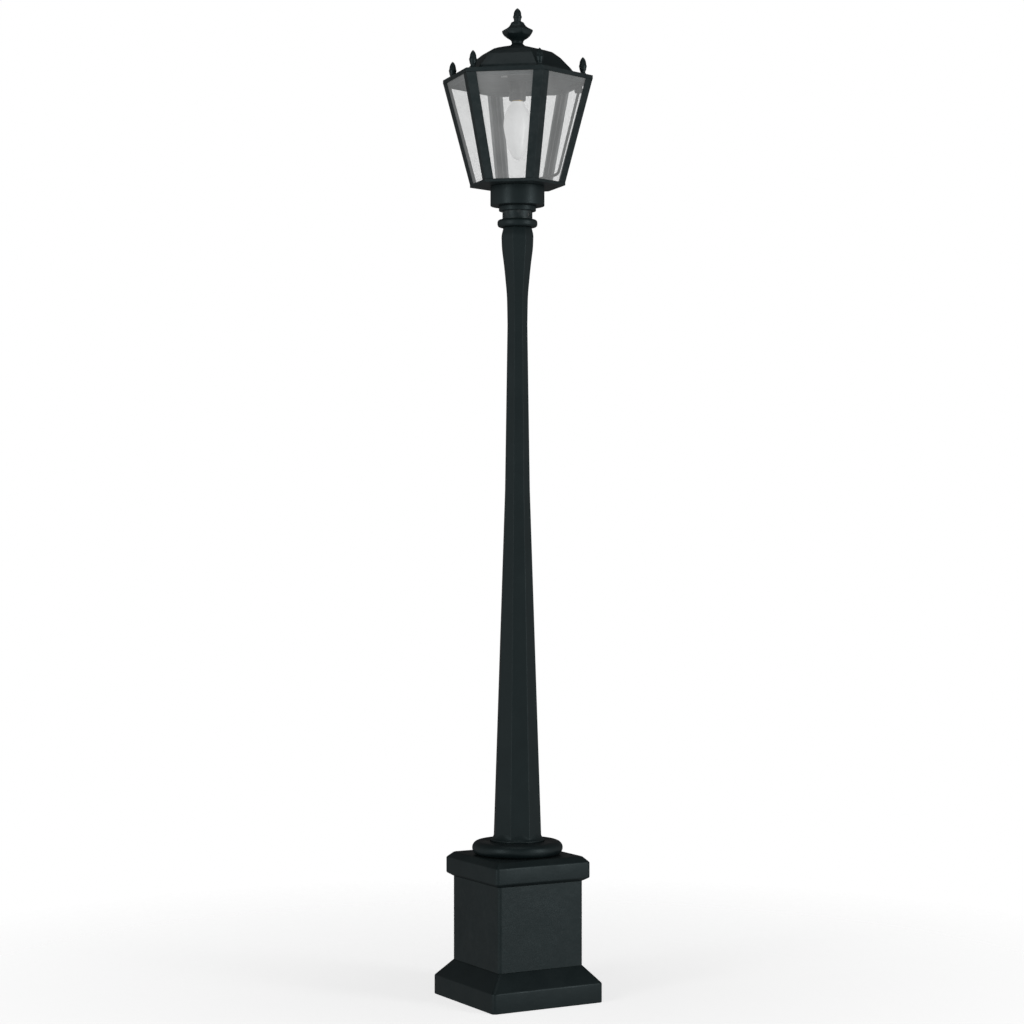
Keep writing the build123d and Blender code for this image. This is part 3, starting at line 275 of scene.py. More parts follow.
def lampGlass():
    # Soft white coating inside the lamp's glass, a little thinner in places, and a white painted glow that stands in
    # for daylight through the unlit glass.
    look = lampLook
    material, tree = newMaterial("lamp glass")
    shader = tree.nodes["Principled BSDF"]
    coat = noiseAt(tree, look["coatScale"], 5, 0.6)
    tree.links.new(ramp(tree, coat, [(0.3, look["thin"]), (0.7, look["thick"])]), shader.inputs["Base Color"])
    tree.links.new(span(tree, coat, *look["roughness"], *noiseRange), shader.inputs["Roughness"])
    shader.inputs["Coat Weight"].default_value = look["gloss"]
    shader.inputs["Coat Roughness"].default_value = look["glossRoughness"]
    # Painted glow: white emission that stands in for daylight through the glass; the lamp is not lit.
    shader.inputs["Emission Color"].default_value = (1, 1, 1, 1)
    shader.inputs["Emission Strength"].default_value = look["paintedGlow"]
    bumps(tree, shader, [(noiseAt(tree, 200, 2, 0.5), *look["grain"])])
    return material


boardVarnish = boardWood()
clearPane = paneGlass()
frostedLamp = lampGlass()
print("stage: materials made")


# Shapes. Each maker works out its whole grid of points at once.

def place(piece, body, material, replaced=(), smooth=True):
    # Puts a finished mesh in the scene, on its body and in its finish.
    piece.data.materials.clear()
    piece.data.materials.append(material)
    if smooth:
        piece.data.polygons.foreach_set("use_smooth", np.ones(len(piece.data.polygons), bool))
    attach(piece, body)
    if replaced:
        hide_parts(*replaced)
    return piece


def gridMesh(name, points, closeRows=False):
    # A skin over points of (rows, columns, 3): columns run round and close, rows go up. The rows close as
    # well, or each end is closed by a fan of triangles on its middle.
    rows, columns, _ = points.shape
    index = np.arange(rows * columns).reshape(rows, columns)
    after = np.roll(index, -1, axis=1)
    lower, upper = index[:-1], index[1:]
    lowerNext, upperNext = after[:-1], after[1:]
    if closeRows:
        lower, upper = index, np.roll(index, -1, axis=0)
        lowerNext, upperNext = after, np.roll(after, -1, axis=0)
    quads = np.stack([lower, lowerNext, upperNext, upper], axis=-1).reshape(-1, 4)
    vertices = points.reshape(-1, 3)
    faces = quads.tolist()
    if not closeRows:
        ends = np.stack([points[0].mean(axis=0), points[-1].mean(axis=0)])
        bottom, top = rows * columns, rows * columns + 1
        vertices = np.concatenate([vertices, ends])
        faces += np.stack([np.full(columns, bottom), after[0], index[0]], axis=-1).tolist()
        faces += np.stack([np.full(columns, top), index[-1], after[-1]], axis=-1).tolist()
    mesh = bpy.data.meshes.new(name)
    mesh.from_pydata(vertices.tolist(), [], faces)
    mesh.update()
    piece = bpy.data.objects.new(name, mesh)
    bpy.context.scene.collection.objects.link(piece)
    return piece


def smoothProfile(points, steps=10):
    # Catmull-Rom curve through (radius, height) points: each span is a cubic of its ends and their neighbours.
    points = np.array(points, float)
    padded = np.concatenate([2 * points[:1] - points[1:2], points, 2 * points[-1:] - points[-2:-1]])
    share = np.linspace(0, 1, steps, endpoint=False)[:, None]
    a, b, c, d = padded[:-3, None], padded[1:-2, None], padded[2:-1, None], padded[3:, None]
    curve = 0.5 * (2 * b + (c - a) * share + (2 * a - 5 * b + 4 * c - d) * share ** 2
                   + (3 * b - a - 3 * c + d) * share ** 3)
    return np.concatenate([curve.reshape(-1, 2), points[-1:]])


def roundedProfile(points, rounding, steps=5):
    # Straight runs with each inner corner turned by a quadratic curve of about the given size.
    points = np.array(points, float)
    result = [points[:1]]
    share = np.linspace(0, 1, steps)[:, None]
    for before, corner, behind in zip(points[:-2], points[1:-1], points[2:]):
        back, ahead = before - corner, behind - corner
        backLength, aheadLength = np.linalg.norm(back), np.linalg.norm(ahead)
        reach = min(rounding, 0.45 * backLength, 0.45 * aheadLength)
        start, end = corner + back / backLength * reach, corner + ahead / aheadLength * reach
        result.append((1 - share) ** 2 * start + 2 * share * (1 - share) * corner + share ** 2 * end)
    result.append(points[-1:])
    return np.concatenate(result)


def polygonRing(sides, rounding, perSide=10, perCorner=6, turn=0.0):
    # Unit polygon with a corner at the turn angle: flats joined by arcs; gives (x, y) round the ring.
    half = math.pi / sides
    centre = 1 - rounding / math.cos(half)
    arc = np.linspace(-half, half, perCorner)
    corner = np.arange(sides) * 2 * half + turn
    arcs = np.stack([centre * np.cos(corner)[:, None] + rounding * np.cos(corner[:, None] + arc),
                     centre * np.sin(corner)[:, None] + rounding * np.sin(corner[:, None] + arc)], axis=-1)
    starts = arcs[:, -1]
    ends = np.roll(arcs[:, 0], -1, axis=0)
    share = np.linspace(0, 1, perSide + 2)[1:-1][None, :, None]
    flats = starts[:, None] * (1 - share) + ends[:, None] * share
    return np.concatenate([arcs, flats], axis=1).reshape(-1, 2)


def polygonSolid(name, profile, sides, rounding, turn=0.0, perSide=10, closeRows=False):
    # A polygon's ring carried up a profile of (corner radius, height).
    ring = polygonRing(sides, rounding, perSide, turn=turn)
    profile = np.array(profile, float)
    across = profile[:, 0, None, None] * ring[None]
    height = np.broadcast_to(profile[:, 1, None, None], (*across.shape[:2], 1))
    return gridMesh(name, np.concatenate([across, height], axis=-1), closeRows)


def turnedSolid(name, profile, columns=96, closeRows=False):
    # A circle carried up a profile of (radius, height).
    angle = np.arange(columns) * 2 * math.pi / columns
    profile = np.array(profile, float)
    points = np.stack([profile[:, 0, None] * np.cos(angle), profile[:, 0, None] * np.sin(angle),
                       np.broadcast_to(profile[:, 1, None], (len(profile), columns))], axis=-1)
    return gridMesh(name, points, closeRows)


def squareSolid(name, profile, cornerRound, perCorner=7, perSide=4):
    # A square with corners of fixed radius carried up a profile of (half side, height).
    profile = np.array(profile, float)
    arc = np.linspace(0, math.pi / 2, perCorner)
    signs = np.array([(1, 1), (-1, 1), (-1, -1), (1, -1)], float)
    starts = np.array([0, 1, 2, 3]) * math.pi / 2
    half = profile[:, 0]
    size = np.minimum(cornerRound, 0.9 * half)
    centre = (half - size)[:, None, None, None] * signs[None, :, None, :]
    angle = starts[:, None] + arc[None]
    spoke = np.stack([np.cos(angle), np.sin(angle)], axis=-1)[None] * size[:, None, None, None]
    arcs = centre + spoke
    begin, end = arcs[:, :, -1], np.roll(arcs[:, :, 0], -1, axis=1)
    share = np.linspace(0, 1, perSide + 2)[1:-1][None, None, :, None]
    flats = begin[:, :, None] * (1 - share) + end[:, :, None] * share
    ring = np.concatenate([arcs, flats], axis=2).reshape(len(profile), -1, 2)
    height = np.broadcast_to(profile[:, 1, None, None], (*ring.shape[:2], 1))
    return gridMesh(name, np.concatenate([ring, height], axis=-1))


softEdge = {"merge": 0.00002, "flat": 1.0, "segments": 3, "angle": 28.0}  # metres, degrees, rows, degrees


def softened(node, name, width):
    # Copy of a CAD node, merged, its flat faces joined, every sharp edge rounded by a narrow bevel.
    piece = nodes[node].copy()
    piece.data = nodes[node].data.copy()
    piece.name = name
    piece.parent = None
    for key in list(piece.keys()):
        del piece[key]
    bpy.context.scene.collection.objects.link(piece)
    shape = bmesh.new()
    shape.from_mesh(piece.data)
    bmesh.ops.remove_doubles(shape, verts=shape.verts, dist=softEdge["merge"])
    flatAngle = math.radians(softEdge["flat"])
    bmesh.ops.dissolve_limit(shape, angle_limit=flatAngle, verts=shape.verts, edges=shape.edges)
    shape.to_mesh(piece.data)
    shape.free()
    if "custom_normal" in piece.data.attributes:
        piece.data.attributes.remove(piece.data.attributes["custom_normal"])
    bevel = piece.modifiers.new("edge", "BEVEL")
    bevel.width = width
    bevel.segments = softEdge["segments"]
    bevel.limit_method = "ANGLE"
    bevel.angle_limit = math.radians(softEdge["angle"])
    bevel.harden_normals = True
    return piece


# Pedestal: two castings on a square plan, with the box and its door between them.

pedestalSizes = {
    "edge": 0.0032, "cornerRound": 0.012, "footFace": 0.062, "footRim": 0.16, "seatRim": 0.1,
    "capUnder": 0.0115, "capChamfer": 0.018, "ringSeat": 0.08, "boxEdge": 0.0012, "doorEdge": 0.0010,
}


def makePedestal():
    # Two square castings: half side against height in straight runs, each bend rounded by a quadratic curve.
    sizes = pedestalSizes
    footLow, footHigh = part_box("plinth_foot")
    capLow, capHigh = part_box("pedestal_cap")
    footHalf, dadoHalf, capHalf = footHigh[0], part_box("pedestal_box")[1][0], capHigh[0]
    seatHalf = dadoHalf - sizes["seatRim"]
    footRows = [(footHalf - sizes["footRim"], footLow[2]), (footHalf, footLow[2]),
                (footHalf, footLow[2] + sizes["footFace"]), (dadoHalf, footHigh[2]), (seatHalf, footHigh[2])]
    capRows = [(seatHalf, capLow[2]), (dadoHalf, capLow[2]), (capHalf, capLow[2] + sizes["capUnder"]),
               (capHalf, capHigh[2] - sizes["capChamfer"]), (capHalf - sizes["capChamfer"], capHigh[2]),
               (dadoHalf - sizes["ringSeat"], capHigh[2])]
    for cadName, pieceName, rows in (("plinth_foot", "plinth_casting", footRows),
                                     ("pedestal_cap", "cap_casting", capRows)):
        casting = squareSolid(pieceName, roundedProfile(rows, sizes["edge"]), sizes["cornerRound"])
        place(casting, "standard", paintedIron, [cadName])


makePedestal()
for cadName, pieceName, width, material, body, slotName in (
        ("pedestal_box", "box_casting", pedestalSizes["boxEdge"], paintedIron, "standard", "painted_iron"),
        ("access_door", "service_door", pedestalSizes["doorEdge"], paintedDoor, "access_door", "painted_iron")):
    place(softened(cadName, pieceName, width), body, material, [cadName], smooth=False)
print("stage: pedestal made")


# Post: the ring at its foot, the octagonal shaft, and the collar, disc and cup at its head.

shaftSizes = {
    "footRadius": 0.087, "lipRound": 0.0016, "lipReach": 0.0012,
    "flareRise": 0.034, "flareNeck": 0.071, "flareStart": 0.17, "flarePower": 0.55, "flareEnd": 0.05,
    "flatLow": 0.0804, "flatMid": 0.0418, "flatTop": 0.0336,  # corner radii of the octagon
    "lowRun": 1.133, "highRun": 0.533, "arris": 0.055, "blend": 0.0012, "swell": 0.35,
    "bore": 0.025, "footBore": 0.058, "boreStep": 0.02,
    "vase": [(0.0344, 0.050), (0.0359, 0.098), (0.0403, 0.147), (0.0454, 0.195), (0.0516, 0.243),
             (0.0534, 0.275), (0.0531, 0.292), (0.0474, 0.316)],  # corner radius, height above the taper
}


def makeShaft():
    # The larger of two radii at each height, with a small swell where they meet: an octagon whose corner
    # radius runs straight between three heights and then follows the vase curve, and a round foot whose
    # radius falls off as a power of the height.
    sizes = shaftSizes
    low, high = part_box("column_shaft")
    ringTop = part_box("base_ring")[1][2]
    flareTop = ringTop + sizes["flareEnd"]
    midHeight = ringTop + sizes["lowRun"]
    vaseHeight = midHeight + sizes["highRun"]
    taper = np.concatenate([np.linspace(ringTop - 0.001, flareTop, 40), np.linspace(flareTop + 0.01, midHeight, 60),
                            np.linspace(midHeight + 0.01, vaseHeight, 30)[:-1]])
    flats = np.interp(taper, [ringTop, midHeight, vaseHeight], [sizes["flatLow"], sizes["flatMid"], sizes["flatTop"]])
    vase = smoothProfile([(sizes["flatTop"], vaseHeight)] + [(r, vaseHeight + rise) for r, rise in sizes["vase"]], 9)
    flats = np.concatenate([flats, vase[:, 0]])
    heights = np.concatenate([taper, vase[:, 1]])

    rise = np.clip((heights - ringTop) / sizes["flareRise"], 0, 1)
    lip = sizes["footRadius"] - sizes["lipRound"] * np.exp(-((heights - ringTop) / sizes["lipReach"]) ** 2)
    fall = np.clip((rise - sizes["flareStart"]) / (1 - sizes["flareStart"]), 0, 1) ** sizes["flarePower"]
    flare = np.where(heights > flareTop, 0.0, lip - (sizes["footRadius"] - sizes["flareNeck"]) * fall)

    ring = polygonRing(8, sizes["arris"], perSide=14, perCorner=7)
    spoke = np.linalg.norm(ring, axis=1)
    direction = ring / spoke[:, None]
    octagon = flats[:, None] * spoke[None]
    foot = np.broadcast_to(flare[:, None], octagon.shape)
    blend = sizes["blend"]
    meeting = np.exp(-np.abs(octagon - foot) / blend) * (foot > 0)
    radius = np.maximum(octagon, foot) + blend * sizes["swell"] * meeting
    outer = np.concatenate([radius[:, :, None] * direction[None],
                            np.broadcast_to(heights[:, None, None], (*radius.shape, 1))], axis=-1)
    underside = np.full((len(direction), 1), low[2])
    skirt = np.concatenate([direction * sizes["footRadius"], underside], axis=1)[None]
    innerHeights = np.array([high[2], high[2] - sizes["boreStep"], midHeight, low[2]])
    innerRadius = np.array([sizes["bore"], sizes["bore"], sizes["bore"], sizes["footBore"]])
    inner = np.concatenate([innerRadius[:, None, None] * direction[None],
                            np.broadcast_to(innerHeights[:, None, None], (4, len(direction), 1))], axis=-1)
    piece = gridMesh("shaft_casting", np.concatenate([skirt, outer, inner]), closeRows=True)
    place(piece, "standard", paintedIron, ["column_shaft"])


collarSizes = {
    "bore": 0.0247, "collarEdge": 0.0122, "discEdge": 0.003, "cupWall": 0.006, "cupEdge": 0.0022,
    "ringSeat": 0.0875, "ringLip": 0.0895, "ringLipDrop": 0.002,
}


def turnedRing(cadName, pieceName, edge, arcSteps=9):
    # A rectangle from the bore to the outer radius, over the part's height, its corners rounded, turned about Z.
    low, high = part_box(cadName)
    bore, outer = collarSizes["bore"], high[0]
    profile = roundedProfile([(bore, low[2]), (outer, low[2]), (outer, high[2]), (bore, high[2])], edge, arcSteps)
    piece = turnedSolid(pieceName, profile, closeRows=True)
    place(piece, "standard", paintedIron, [cadName])


def makeCollars():
    sizes = collarSizes
    makeTorusRing()
    turnedRing("collar_ring", "collar_casting", sizes["collarEdge"], arcSteps=12)
    turnedRing("fitter_disc", "disc_turning", sizes["discEdge"])
    # The cup: a floor and an upright wall of one thickness, turned about Z.
    low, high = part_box("fitter_cup")
    bore, outer, wall = sizes["bore"], high[0], sizes["cupWall"]
    rows = [(bore, low[2]), (outer, low[2]), (outer, high[2]), (outer - wall, high[2]),
            (outer - wall, low[2] + wall), (bore, low[2] + wall)]
    piece = turnedSolid("cup_casting", roundedProfile(rows, sizes["cupEdge"]), closeRows=True)
    place(piece, "standard", paintedIron, ["fitter_cup"])


def makeTorusRing():
    # Half a circle, as high as the part, carried on a flat-topped web and turned about Z.
    sizes = collarSizes
    low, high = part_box("base_ring")
    tube = (high[2] - low[2]) / 2
    centre = high[0] - tube
    arc = np.linspace(-math.pi / 2, math.pi / 2, 28)
    bulge = np.stack([centre + tube * np.cos(arc), (low[2] + high[2]) / 2 + tube * np.sin(arc)], axis=-1)
    foot = [(sizes["ringSeat"], low[2])]
    lip = [(sizes["ringLip"], high[2]), (sizes["ringSeat"], high[2] - sizes["ringLipDrop"])]
    piece = turnedSolid("torus_ring", np.concatenate([foot, bulge, lip]), closeRows=True, columns=128)
    place(piece, "standard", paintedIron, ["base_ring"])


makeShaft()
makeCollars()
print("stage: post made")


# Lantern: roof, finials, lamp and holder. The frame keeps its shape and gets rounded edges.

# Outlines are (radius, height above the piece's foot).
finialSizes = {
    "stem": [(0.0290, 0.0), (0.0262, 0.0022), (0.0225, 0.0045), (0.0196, 0.0075), (0.0183, 0.0105),
             (0.0186, 0.0128), (0.0196, 0.0150), (0.0193, 0.0170), (0.0180, 0.0180)],
    "knop": [(0.0200, 0.0180), (0.0222, 0.0205), (0.0250, 0.0232), (0.0315, 0.0270), (0.0375, 0.0315),
             (0.0440, 0.0365), (0.0480, 0.0420), (0.0505, 0.0470), (0.0512, 0.0505), (0.0500, 0.0530),
             (0.0440, 0.0565), (0.0360, 0.0605), (0.0290, 0.0655), (0.0245, 0.0710), (0.0218, 0.0755),
             (0.0190, 0.0785), (0.0150, 0.0800), (0.0132, 0.0815)],
    "knopFacets": [(0.030, 0.0), (0.046, 1.0), (0.068, 1.0), (0.077, 0.0)],  # height, share of the hexagon
    "acorn": [(0.0112, 0.0), (0.0117, 0.004), (0.0121, 0.008), (0.0139, 0.012), (0.0143, 0.0155),
              (0.0134, 0.0185), (0.0127, 0.0215), (0.0124, 0.026), (0.0112, 0.031), (0.0088, 0.0355),
              (0.0058, 0.0390), (0.0030, 0.0415)],
    "acornDrawn": 0.0430, "acornTip": 0.0004,
    "corner": [(0.0106, 0.0), (0.0110, 0.0024), (0.0108, 0.0058), (0.0086, 0.0082), (0.0079, 0.0108),
               (0.0092, 0.0150), (0.0106, 0.0185), (0.0110, 0.0220), (0.0118, 0.0258), (0.0126, 0.0295),
               (0.0121, 0.0328), (0.0113, 0.0356), (0.0110, 0.0398), (0.0099, 0.0452), (0.0080, 0.0500),
               (0.0055, 0.0543), (0.0028, 0.0573), (0.0003, 0.0595)],
    "cornerReach": 0.2144, "ribs": 8, "facetLimit": 0.992,
    # start and full height above the foot, fade below the tip, depth low down and near the tip
    "acornRibs": (0.019, 0.023, 0.008, 0.13, 0.11), "cornerRibs": (0.034, 0.038, 0.009, 0.14, 0.12),
}


def blendedSolid(name, rows, sides, turn, columns=144):
    # Rows of (radius, height, share): a circle at share 0 turns into a polygon of that corner radius at share 1.
    rows = np.array(rows, float)
    angle = np.arange(columns) * 2 * math.pi / columns
    offset = np.mod(angle - turn + math.pi / sides, 2 * math.pi / sides) - math.pi / sides
    flat = math.cos(math.pi / sides) / np.cos(math.pi / sides - np.abs(offset))
    flat = np.minimum(flat, finialSizes["facetLimit"])
    spoke = 1 + rows[:, 2, None] * (flat[None] - 1)
    radius = rows[:, 0, None] * spoke
    points = np.stack([radius * np.cos(angle), radius * np.sin(angle),
                       np.broadcast_to(rows[:, 1, None], radius.shape)], axis=-1)
    return gridMesh(name, points)


def ribbedTurned(name, rows, centre, ribs, columns=96):
    # Turned shape with upright ribs: rows of (radius, height, rib depth as a share of the radius).
    rows = np.array(rows, float)
    angle = np.arange(columns) * 2 * math.pi / columns
    radius = rows[:, 0, None] * (1 - rows[:, 2, None] * (0.5 - 0.5 * np.cos(ribs * angle)))
    points = np.stack([centre[0] + radius * np.cos(angle), centre[1] + radius * np.sin(angle),
                       np.broadcast_to(rows[:, 1, None], radius.shape)], axis=-1)
    return gridMesh(name, points)


def withShare(profile, starts):
    # Adds a third column that is read off (height, share) pairs.
    profile = np.array(profile, float)
    heights, shares = np.array(starts, float).T
    return np.column_stack([profile, np.interp(profile[:, 1], heights, shares)])


def ribStarts(low, high, ribs):
    # Rib depth by height: none up to the start, straight to full, straight to the fade, none at the tip.
    start, full, fade, deep, shallow = ribs
    return [(low + start, 0.0), (low + full, deep), (high - fade, shallow), (high, 0.0)]


def makeCentralFinial():
    # A turned stem, a knop that goes from round to six-sided and back, and a ribbed acorn.
    sizes = finialSizes
    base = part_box("finial_stem")[0][2]
    profile = smoothProfile([(r, base + z) for r, z in sizes["stem"]], 6)
    stem = turnedSolid("stem_turning", profile, columns=80)
    place(stem, "canopy", paintedLantern, ["finial_stem"])
    profile = smoothProfile([(r, base + z) for r, z in sizes["knop"]], 6)
    rows = withShare(profile, [(base + z, share) for z, share in sizes["knopFacets"]])
    knop = blendedSolid("knop_casting", rows, 6, lanternTurn)
    place(knop, "canopy", paintedLantern, ["finial_knop"])
    low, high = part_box("finial_acorn")
    scale = (high[2] - low[2]) / sizes["acornDrawn"]
    outline = [(r, low[2] + z * scale) for r, z in sizes["acorn"]] + [(sizes["acornTip"], high[2])]
    rows = withShare(smoothProfile(outline, 6), ribStarts(low[2], high[2], sizes["acornRibs"]))
    acorn = ribbedTurned("acorn_casting", rows, (0, 0), sizes["ribs"])
    place(acorn, "canopy", paintedLantern, ["finial_acorn"])


def makeCornerFinials():
    # The same ribbed outline, turned about an upright axis at each corner of the lantern.
    sizes = finialSizes
    low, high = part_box("corner_finials")
    profile = smoothProfile([(r, low[2] + z) for r, z in sizes["corner"]], 5)
    rows = withShare(profile, ribStarts(low[2], high[2], sizes["cornerRibs"]))
    for corner in range(6):
        angle = lanternTurn + corner * math.pi / 3
        centre = (sizes["cornerReach"] * math.cos(angle), sizes["cornerReach"] * math.sin(angle))
        piece = ribbedTurned(f"corner_acorn_{corner + 1}", rows, centre, sizes["ribs"], columns=64)
        place(piece, "canopy", paintedLantern, ["corner_finials"])


roofSizes = {
    "outer": [(0.1950, 0.0), (0.1760, 0.0240), (0.1420, 0.0595), (0.1150, 0.0790), (0.0905, 0.0865),
              (0.0650, 0.0930), (0.0320, 0.1005)],  # corner radius, height above the eaves
    "wall": 0.0046, "drop": 0.004, "crown": (0.0200, 0.0940), "rodHole": 0.0060, "rodFoot": 0.0942,
    "bend": 0.0035, "arris": 0.022,
}


def makeRoof():
    # A hexagon whose corner radius runs straight between heights, out and back a wall's width inside:
    # six leaves that step in towards the crown, each bend a little rounded, open underneath.
    sizes = roofSizes
    low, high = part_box("roof_dome")
    outer, rod = sizes["outer"], sizes["rodHole"]
    inner = [sizes["crown"]] + [(r - sizes["wall"], max(z - sizes["drop"], 0.0)) for r, z in outer[::-1]]
    rows = [(r, low[2] + z) for r, z in outer] + [(rod, high[2]), (rod, low[2] + sizes["rodFoot"])]
    rows += [(r, low[2] + z) for r, z in inner]
    profile = roundedProfile(rows, sizes["bend"])
    piece = polygonSolid("roof_skin", profile, 6, sizes["arris"], turn=lanternTurn, perSide=6, closeRows=True)
    place(piece, "canopy", paintedLantern, ["roof_dome"])


lampSizes = {
    "drawnLength": 0.187,
    "glass": [(0.0004, 0.0), (0.0060, 0.0012), (0.0130, 0.0060), (0.0190, 0.0150), (0.0262, 0.0300),
              (0.0325, 0.0480), (0.0385, 0.0700), (0.0430, 0.0930), (0.0450, 0.1120), (0.0432, 0.1310),
              (0.0385, 0.1480), (0.0322, 0.1610), (0.0262, 0.1720), (0.0230, 0.1800), (0.0205, 0.1870)],
    "pitch": 0.00635, "depth": 0.0011, "play": 0.0002, "columns": 96, "rows": 90,
    "shellEnd": 0.006, "fadeIn": 0.006, "fadeOut": 0.004,
    "tail": [(0.0130, 0.002), (0.0070, 0.0005)],  # radius, distance below the contact
}


def makeLamp():
    # The glass: a smooth curve through its outline, turned about Z.
    sizes = lampSizes
    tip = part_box("lamp_envelope")[1][2] - sizes["drawnLength"]
    profile = smoothProfile([(r, tip + z) for r, z in sizes["glass"]], 7)
    glass = turnedSolid("lamp_glass", profile, columns=96)
    place(glass, "lamp", frostedLamp, ["lamp_envelope"])

    # The screw shell: the radius follows a cosine of turn less height, one turn each pitch, faded at both ends.
    low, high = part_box("lamp_cap")
    columns, depth = sizes["columns"], sizes["depth"]
    heights = np.linspace(low[2], high[2] - sizes["shellEnd"], sizes["rows"])
    angle = np.arange(columns) * 2 * math.pi / columns
    fade = (np.clip((heights - low[2]) / sizes["fadeIn"], 0, 1)
            * np.clip((heights[-1] - heights) / sizes["fadeOut"], 0, 1))
    wave = np.cos(angle[None] - heights[:, None] / sizes["pitch"] * 2 * math.pi)
    radius = high[0] - depth + depth * wave * fade[:, None] - sizes["play"]
    shell = np.stack([radius * np.cos(angle), radius * np.sin(angle),
                      np.broadcast_to(heights[:, None], radius.shape)], axis=-1)
    tail = np.array(sizes["tail"])
    tailHeights = np.broadcast_to(high[2] - tail[:, 1, None], (2, columns))
    tip = np.stack([tail[:, 0, None] * np.cos(angle), tail[:, 0, None] * np.sin(angle), tailHeights], axis=-1)
    place(gridMesh("lamp_screw", np.concatenate([shell, tip])), "lamp", brass, ["lamp_cap"])


holderSizes = {
    "skirt": [(0.0202, 0.001), (0.0255, 0.0), (0.0270, 0.003), (0.0270, 0.020), (0.0258, 0.022),
              (0.0258, 0.026), (0.0270, 0.028)],  # radius, height above the mouth
    "body": 0.0270, "throat": 0.0207, "nut": 0.0310, "nutHeight": 0.003, "trayGap": 0.0003,
    "well": [(0.0080, 0.046), (0.0202, 0.0455)],  # radius, height above the mouth
    "wireHole": 0.0080, "edge": 0.0012,
}


def makeHolder():
    # One closed outline turned about Z: grooved skirt up to the tray, throat through it, nut above, well inside.
    sizes = holderSizes
    low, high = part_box("lampholder")
    mouth, ceiling = low[2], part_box("ceiling_tray")[0][2] - sizes["trayGap"]
    nutFoot = high[2] - sizes["nutHeight"]
    rows = [(r, mouth + z) for r, z in sizes["skirt"]]
    rows += [(sizes["body"], ceiling), (sizes["throat"], ceiling), (sizes["throat"], nutFoot),
             (sizes["nut"], nutFoot), (sizes["nut"], high[2]), (sizes["wireHole"], high[2])]
    rows += [(r, mouth + z) for r, z in sizes["well"]]
    piece = turnedSolid("holder_body", roundedProfile(rows, sizes["edge"], 4), columns=80, closeRows=True)
    place(piece, "canopy", holderClay, ["lampholder"])


makeRoof()
makeCentralFinial()
makeCornerFinials()
makeLamp()
makeHolder()
framePieces = [("base_frame", "base_frame_casting", 0.0012, "standard"),
               ("top_rail", "rail_casting", 0.0008, "standard"),
               ("canopy_ring", "canopy_frame", 0.0012, "canopy")]  # node, piece, edge width, body
framePieces += [(f"corner_bar_{number}", f"angle_bar_{number}", 0.0007, "standard") for number in range(1, 7)]
for cadName, pieceName, width, body in framePieces:
    place(softened(cadName, pieceName, width), body, paintedLantern, [cadName], smooth=False)
print("stage: lantern made")


# Finishes of the parts that keep their own shape.

finishes = {
    "painted_iron": paintedIron, "painted_lantern": paintedLantern, "ceiling_paint": paintedInside,
    "glass": clearPane, "frosted_glass": frostedLamp, "black_plastic": blackPlastic, "rubber": rubber,
    "zinc_steel": zinc,
    "stainless": stainless, "brass": brass, "ceramic": fuseClay, "dark_ceramic": holderClay, "board": boardVarnish,
    "gear_steel": gearSteel,
}
for entry in frame["record"]["subparts"]:
    cadNode = nodes[entry["node"]]
    cadNode.data.materials.clear()
    cadNode.data.materials.append(finishes[entry["material_slot"]])
print("stage: finishes set")


# Studio: a pale floor, three softboxes and a level camera.

# Turns are in degrees from the camera's side; a light is (turn, distance, height, width, tall, power).
studio = {
    "turn": -29.6, "distance": 7.907, "height": 1.571, "lens": 85.96, "sensor": 36.0, "shift": -0.0053,
    "leftLight": (-44.0, 5.2, 2.2, 1.2, 4.0, 48.0), "rightLight": (58.0, 5.2, 2.0, 1.2, 4.0, 64.0),
    "topLight": (0.0, 0.8, 6.0, 2.4, 2.4, 14.0), "aimHeight": 1.6,
    "lowGrey": 0.32, "levelGrey": 0.44, "zenithGrey": 0.06, "darkTurn": 180.0, "darkShare": 0.2,
    "floorReach": 60.0, "floorTones": (0.78, 0.80), "floorGlow": 0.70, "floorFade": 0.5, "floorEnd": 2.6,
}


def around(turn, distance, height):
    # Point at a turn from the camera's own side of the object.
    angle = math.radians(studio["turn"] + turn)
    return Vector((math.sin(angle) * distance, -math.cos(angle) * distance, height))


def addCamera():
    camera = bpy.data.objects.new("camera", bpy.data.cameras.new("camera"))
    camera.data.lens = studio["lens"]
    camera.data.sensor_width = studio["sensor"]
    camera.data.shift_x = studio["shift"]
    camera.location = around(0.0, studio["distance"], studio["height"])
    camera.rotation_euler = (math.pi / 2, 0.0, math.radians(studio["turn"]))
    bpy.context.scene.collection.objects.link(camera)
    bpy.context.scene.camera = camera


def addSoftbox(name, turn, distance, height, width, tall, power):
    lamp = bpy.data.lights.new(name, "AREA")
    lamp.shape = "RECTANGLE"
    lamp.size, lamp.size_y, lamp.energy = width, tall, power
    box = bpy.data.objects.new(name, lamp)
    box.location = around(turn, distance, height)
    aim = Vector((0.0, 0.0, studio["aimHeight"])) - box.location
    box.rotation_euler = aim.to_track_quat("-Z", "Y").to_euler()
    bpy.context.scene.collection.objects.link(box)


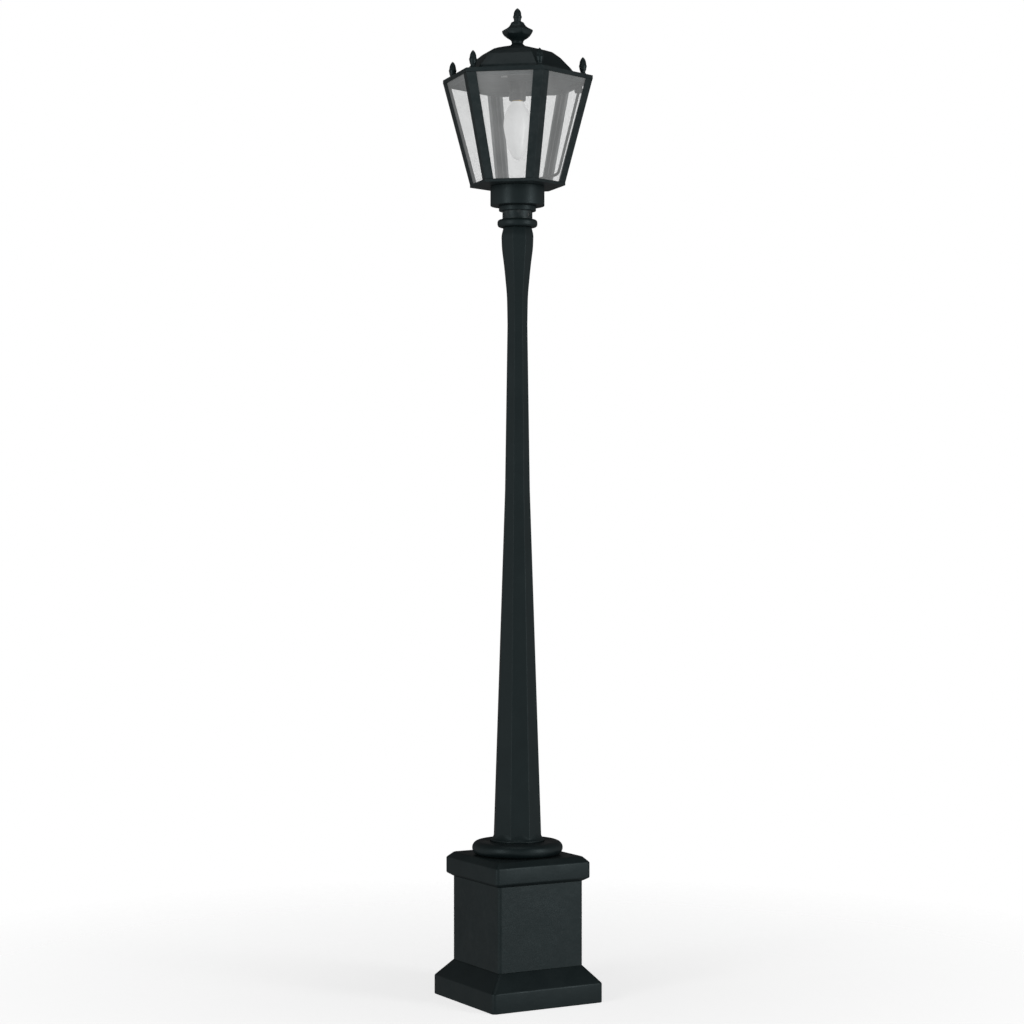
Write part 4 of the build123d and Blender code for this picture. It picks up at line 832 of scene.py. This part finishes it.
def addFloor():
    # Pale floor that takes soft shadows near the object and fades into the white with distance.
    mesh = bpy.data.meshes.new("floor")
    reach = studio["floorReach"]
    corners = [(-reach, -reach, 0), (reach, -reach, 0), (reach, reach, 0), (-reach, reach, 0)]
    mesh.from_pydata(corners, [], [(0, 1, 2, 3)])
    floor = bpy.data.objects.new("floor", mesh)
    bpy.context.scene.collection.objects.link(floor)
    material, tree = newMaterial("pale floor")
    shader = tree.nodes["Principled BSDF"]
    dull, clean = studio["floorTones"]
    tone = ramp(tree, noiseAt(tree, 3, 3, 0.5), [(0.3, (dull,) * 3), (0.7, (clean,) * 3)])
    tree.links.new(tone, shader.inputs["Base Color"])
    shader.inputs["Roughness"].default_value = 0.9
    shader.inputs["Specular IOR Level"].default_value = 0.0
    shader.inputs["Emission Color"].default_value = (1, 1, 1, 1)
    shader.inputs["Emission Strength"].default_value = studio["floorGlow"]
    distance = addNode(tree, "ShaderNodeVectorMath", operation="LENGTH")
    tree.links.new(addNode(tree, "ShaderNodeTexCoord").outputs["Object"], distance.inputs[0])
    tree.links.new(span(tree, distance.outputs["Value"], 1.0, 0.0, studio["floorFade"], studio["floorEnd"]),
                   shader.inputs["Alpha"])
    mesh.materials.append(material)
    floor.visible_glossy = False
    floor.visible_diffuse = False


def addSurround():
    # White behind the object. The light that reaches it comes from a band at eye height, dim overhead and
    # on the far side.
    world = bpy.data.worlds.new("studio")
    bpy.context.scene.world = world
    world.use_nodes = True
    tree = world.node_tree
    tree.nodes.clear()
    output = addNode(tree, "ShaderNodeOutputWorld")
    mix = addNode(tree, "ShaderNodeMixShader")
    path = addNode(tree, "ShaderNodeLightPath")
    direction = addNode(tree, "ShaderNodeTexCoord").outputs["Generated"]
    parts = addNode(tree, "ShaderNodeSeparateXYZ")
    tree.links.new(direction, parts.inputs["Vector"])
    height = span(tree, parts.outputs["Z"], 0.0, 1.0, -1.0, 1.0)
    level = ramp(tree, height, [(0.32, (studio["lowGrey"],) * 3), (0.5, (studio["levelGrey"],) * 3),
                                (0.87, (studio["zenithGrey"],) * 3)])
    side = addNode(tree, "ShaderNodeVectorMath", operation="DOT_PRODUCT")
    side.inputs[1].default_value = around(studio["darkTurn"], 1.0, 0.0)
    tree.links.new(direction, side.inputs[0])
    shade = ramp(tree, side.outputs["Value"], [(0.0, (1.0, 1.0, 1.0)), (0.85, (studio["darkShare"],) * 3)])
    product = addNode(tree, "ShaderNodeMix", data_type="RGBA", blend_type="MULTIPLY")
    product.inputs["Factor"].default_value = 1.0
    tree.links.new(level, product.inputs["A"])
    tree.links.new(shade, product.inputs["B"])
    dim = addNode(tree, "ShaderNodeBackground")
    tree.links.new(product.outputs["Result"], dim.inputs["Color"])
    bright = addNode(tree, "ShaderNodeBackground")
    bright.inputs["Color"].default_value = (1, 1, 1, 1)
    tree.links.new(path.outputs["Is Camera Ray"], mix.inputs["Fac"])
    tree.links.new(dim.outputs["Background"], mix.inputs[1])
    tree.links.new(bright.outputs["Background"], mix.inputs[2])
    tree.links.new(mix.outputs["Shader"], output.inputs["Surface"])


addCamera()
for lightName in ("leftLight", "rightLight", "topLight"):
    addSoftbox(lightName, *studio[lightName])
addFloor()
addSurround()
bpy.context.scene.view_settings.view_transform = "Standard"
print("stage: studio set")
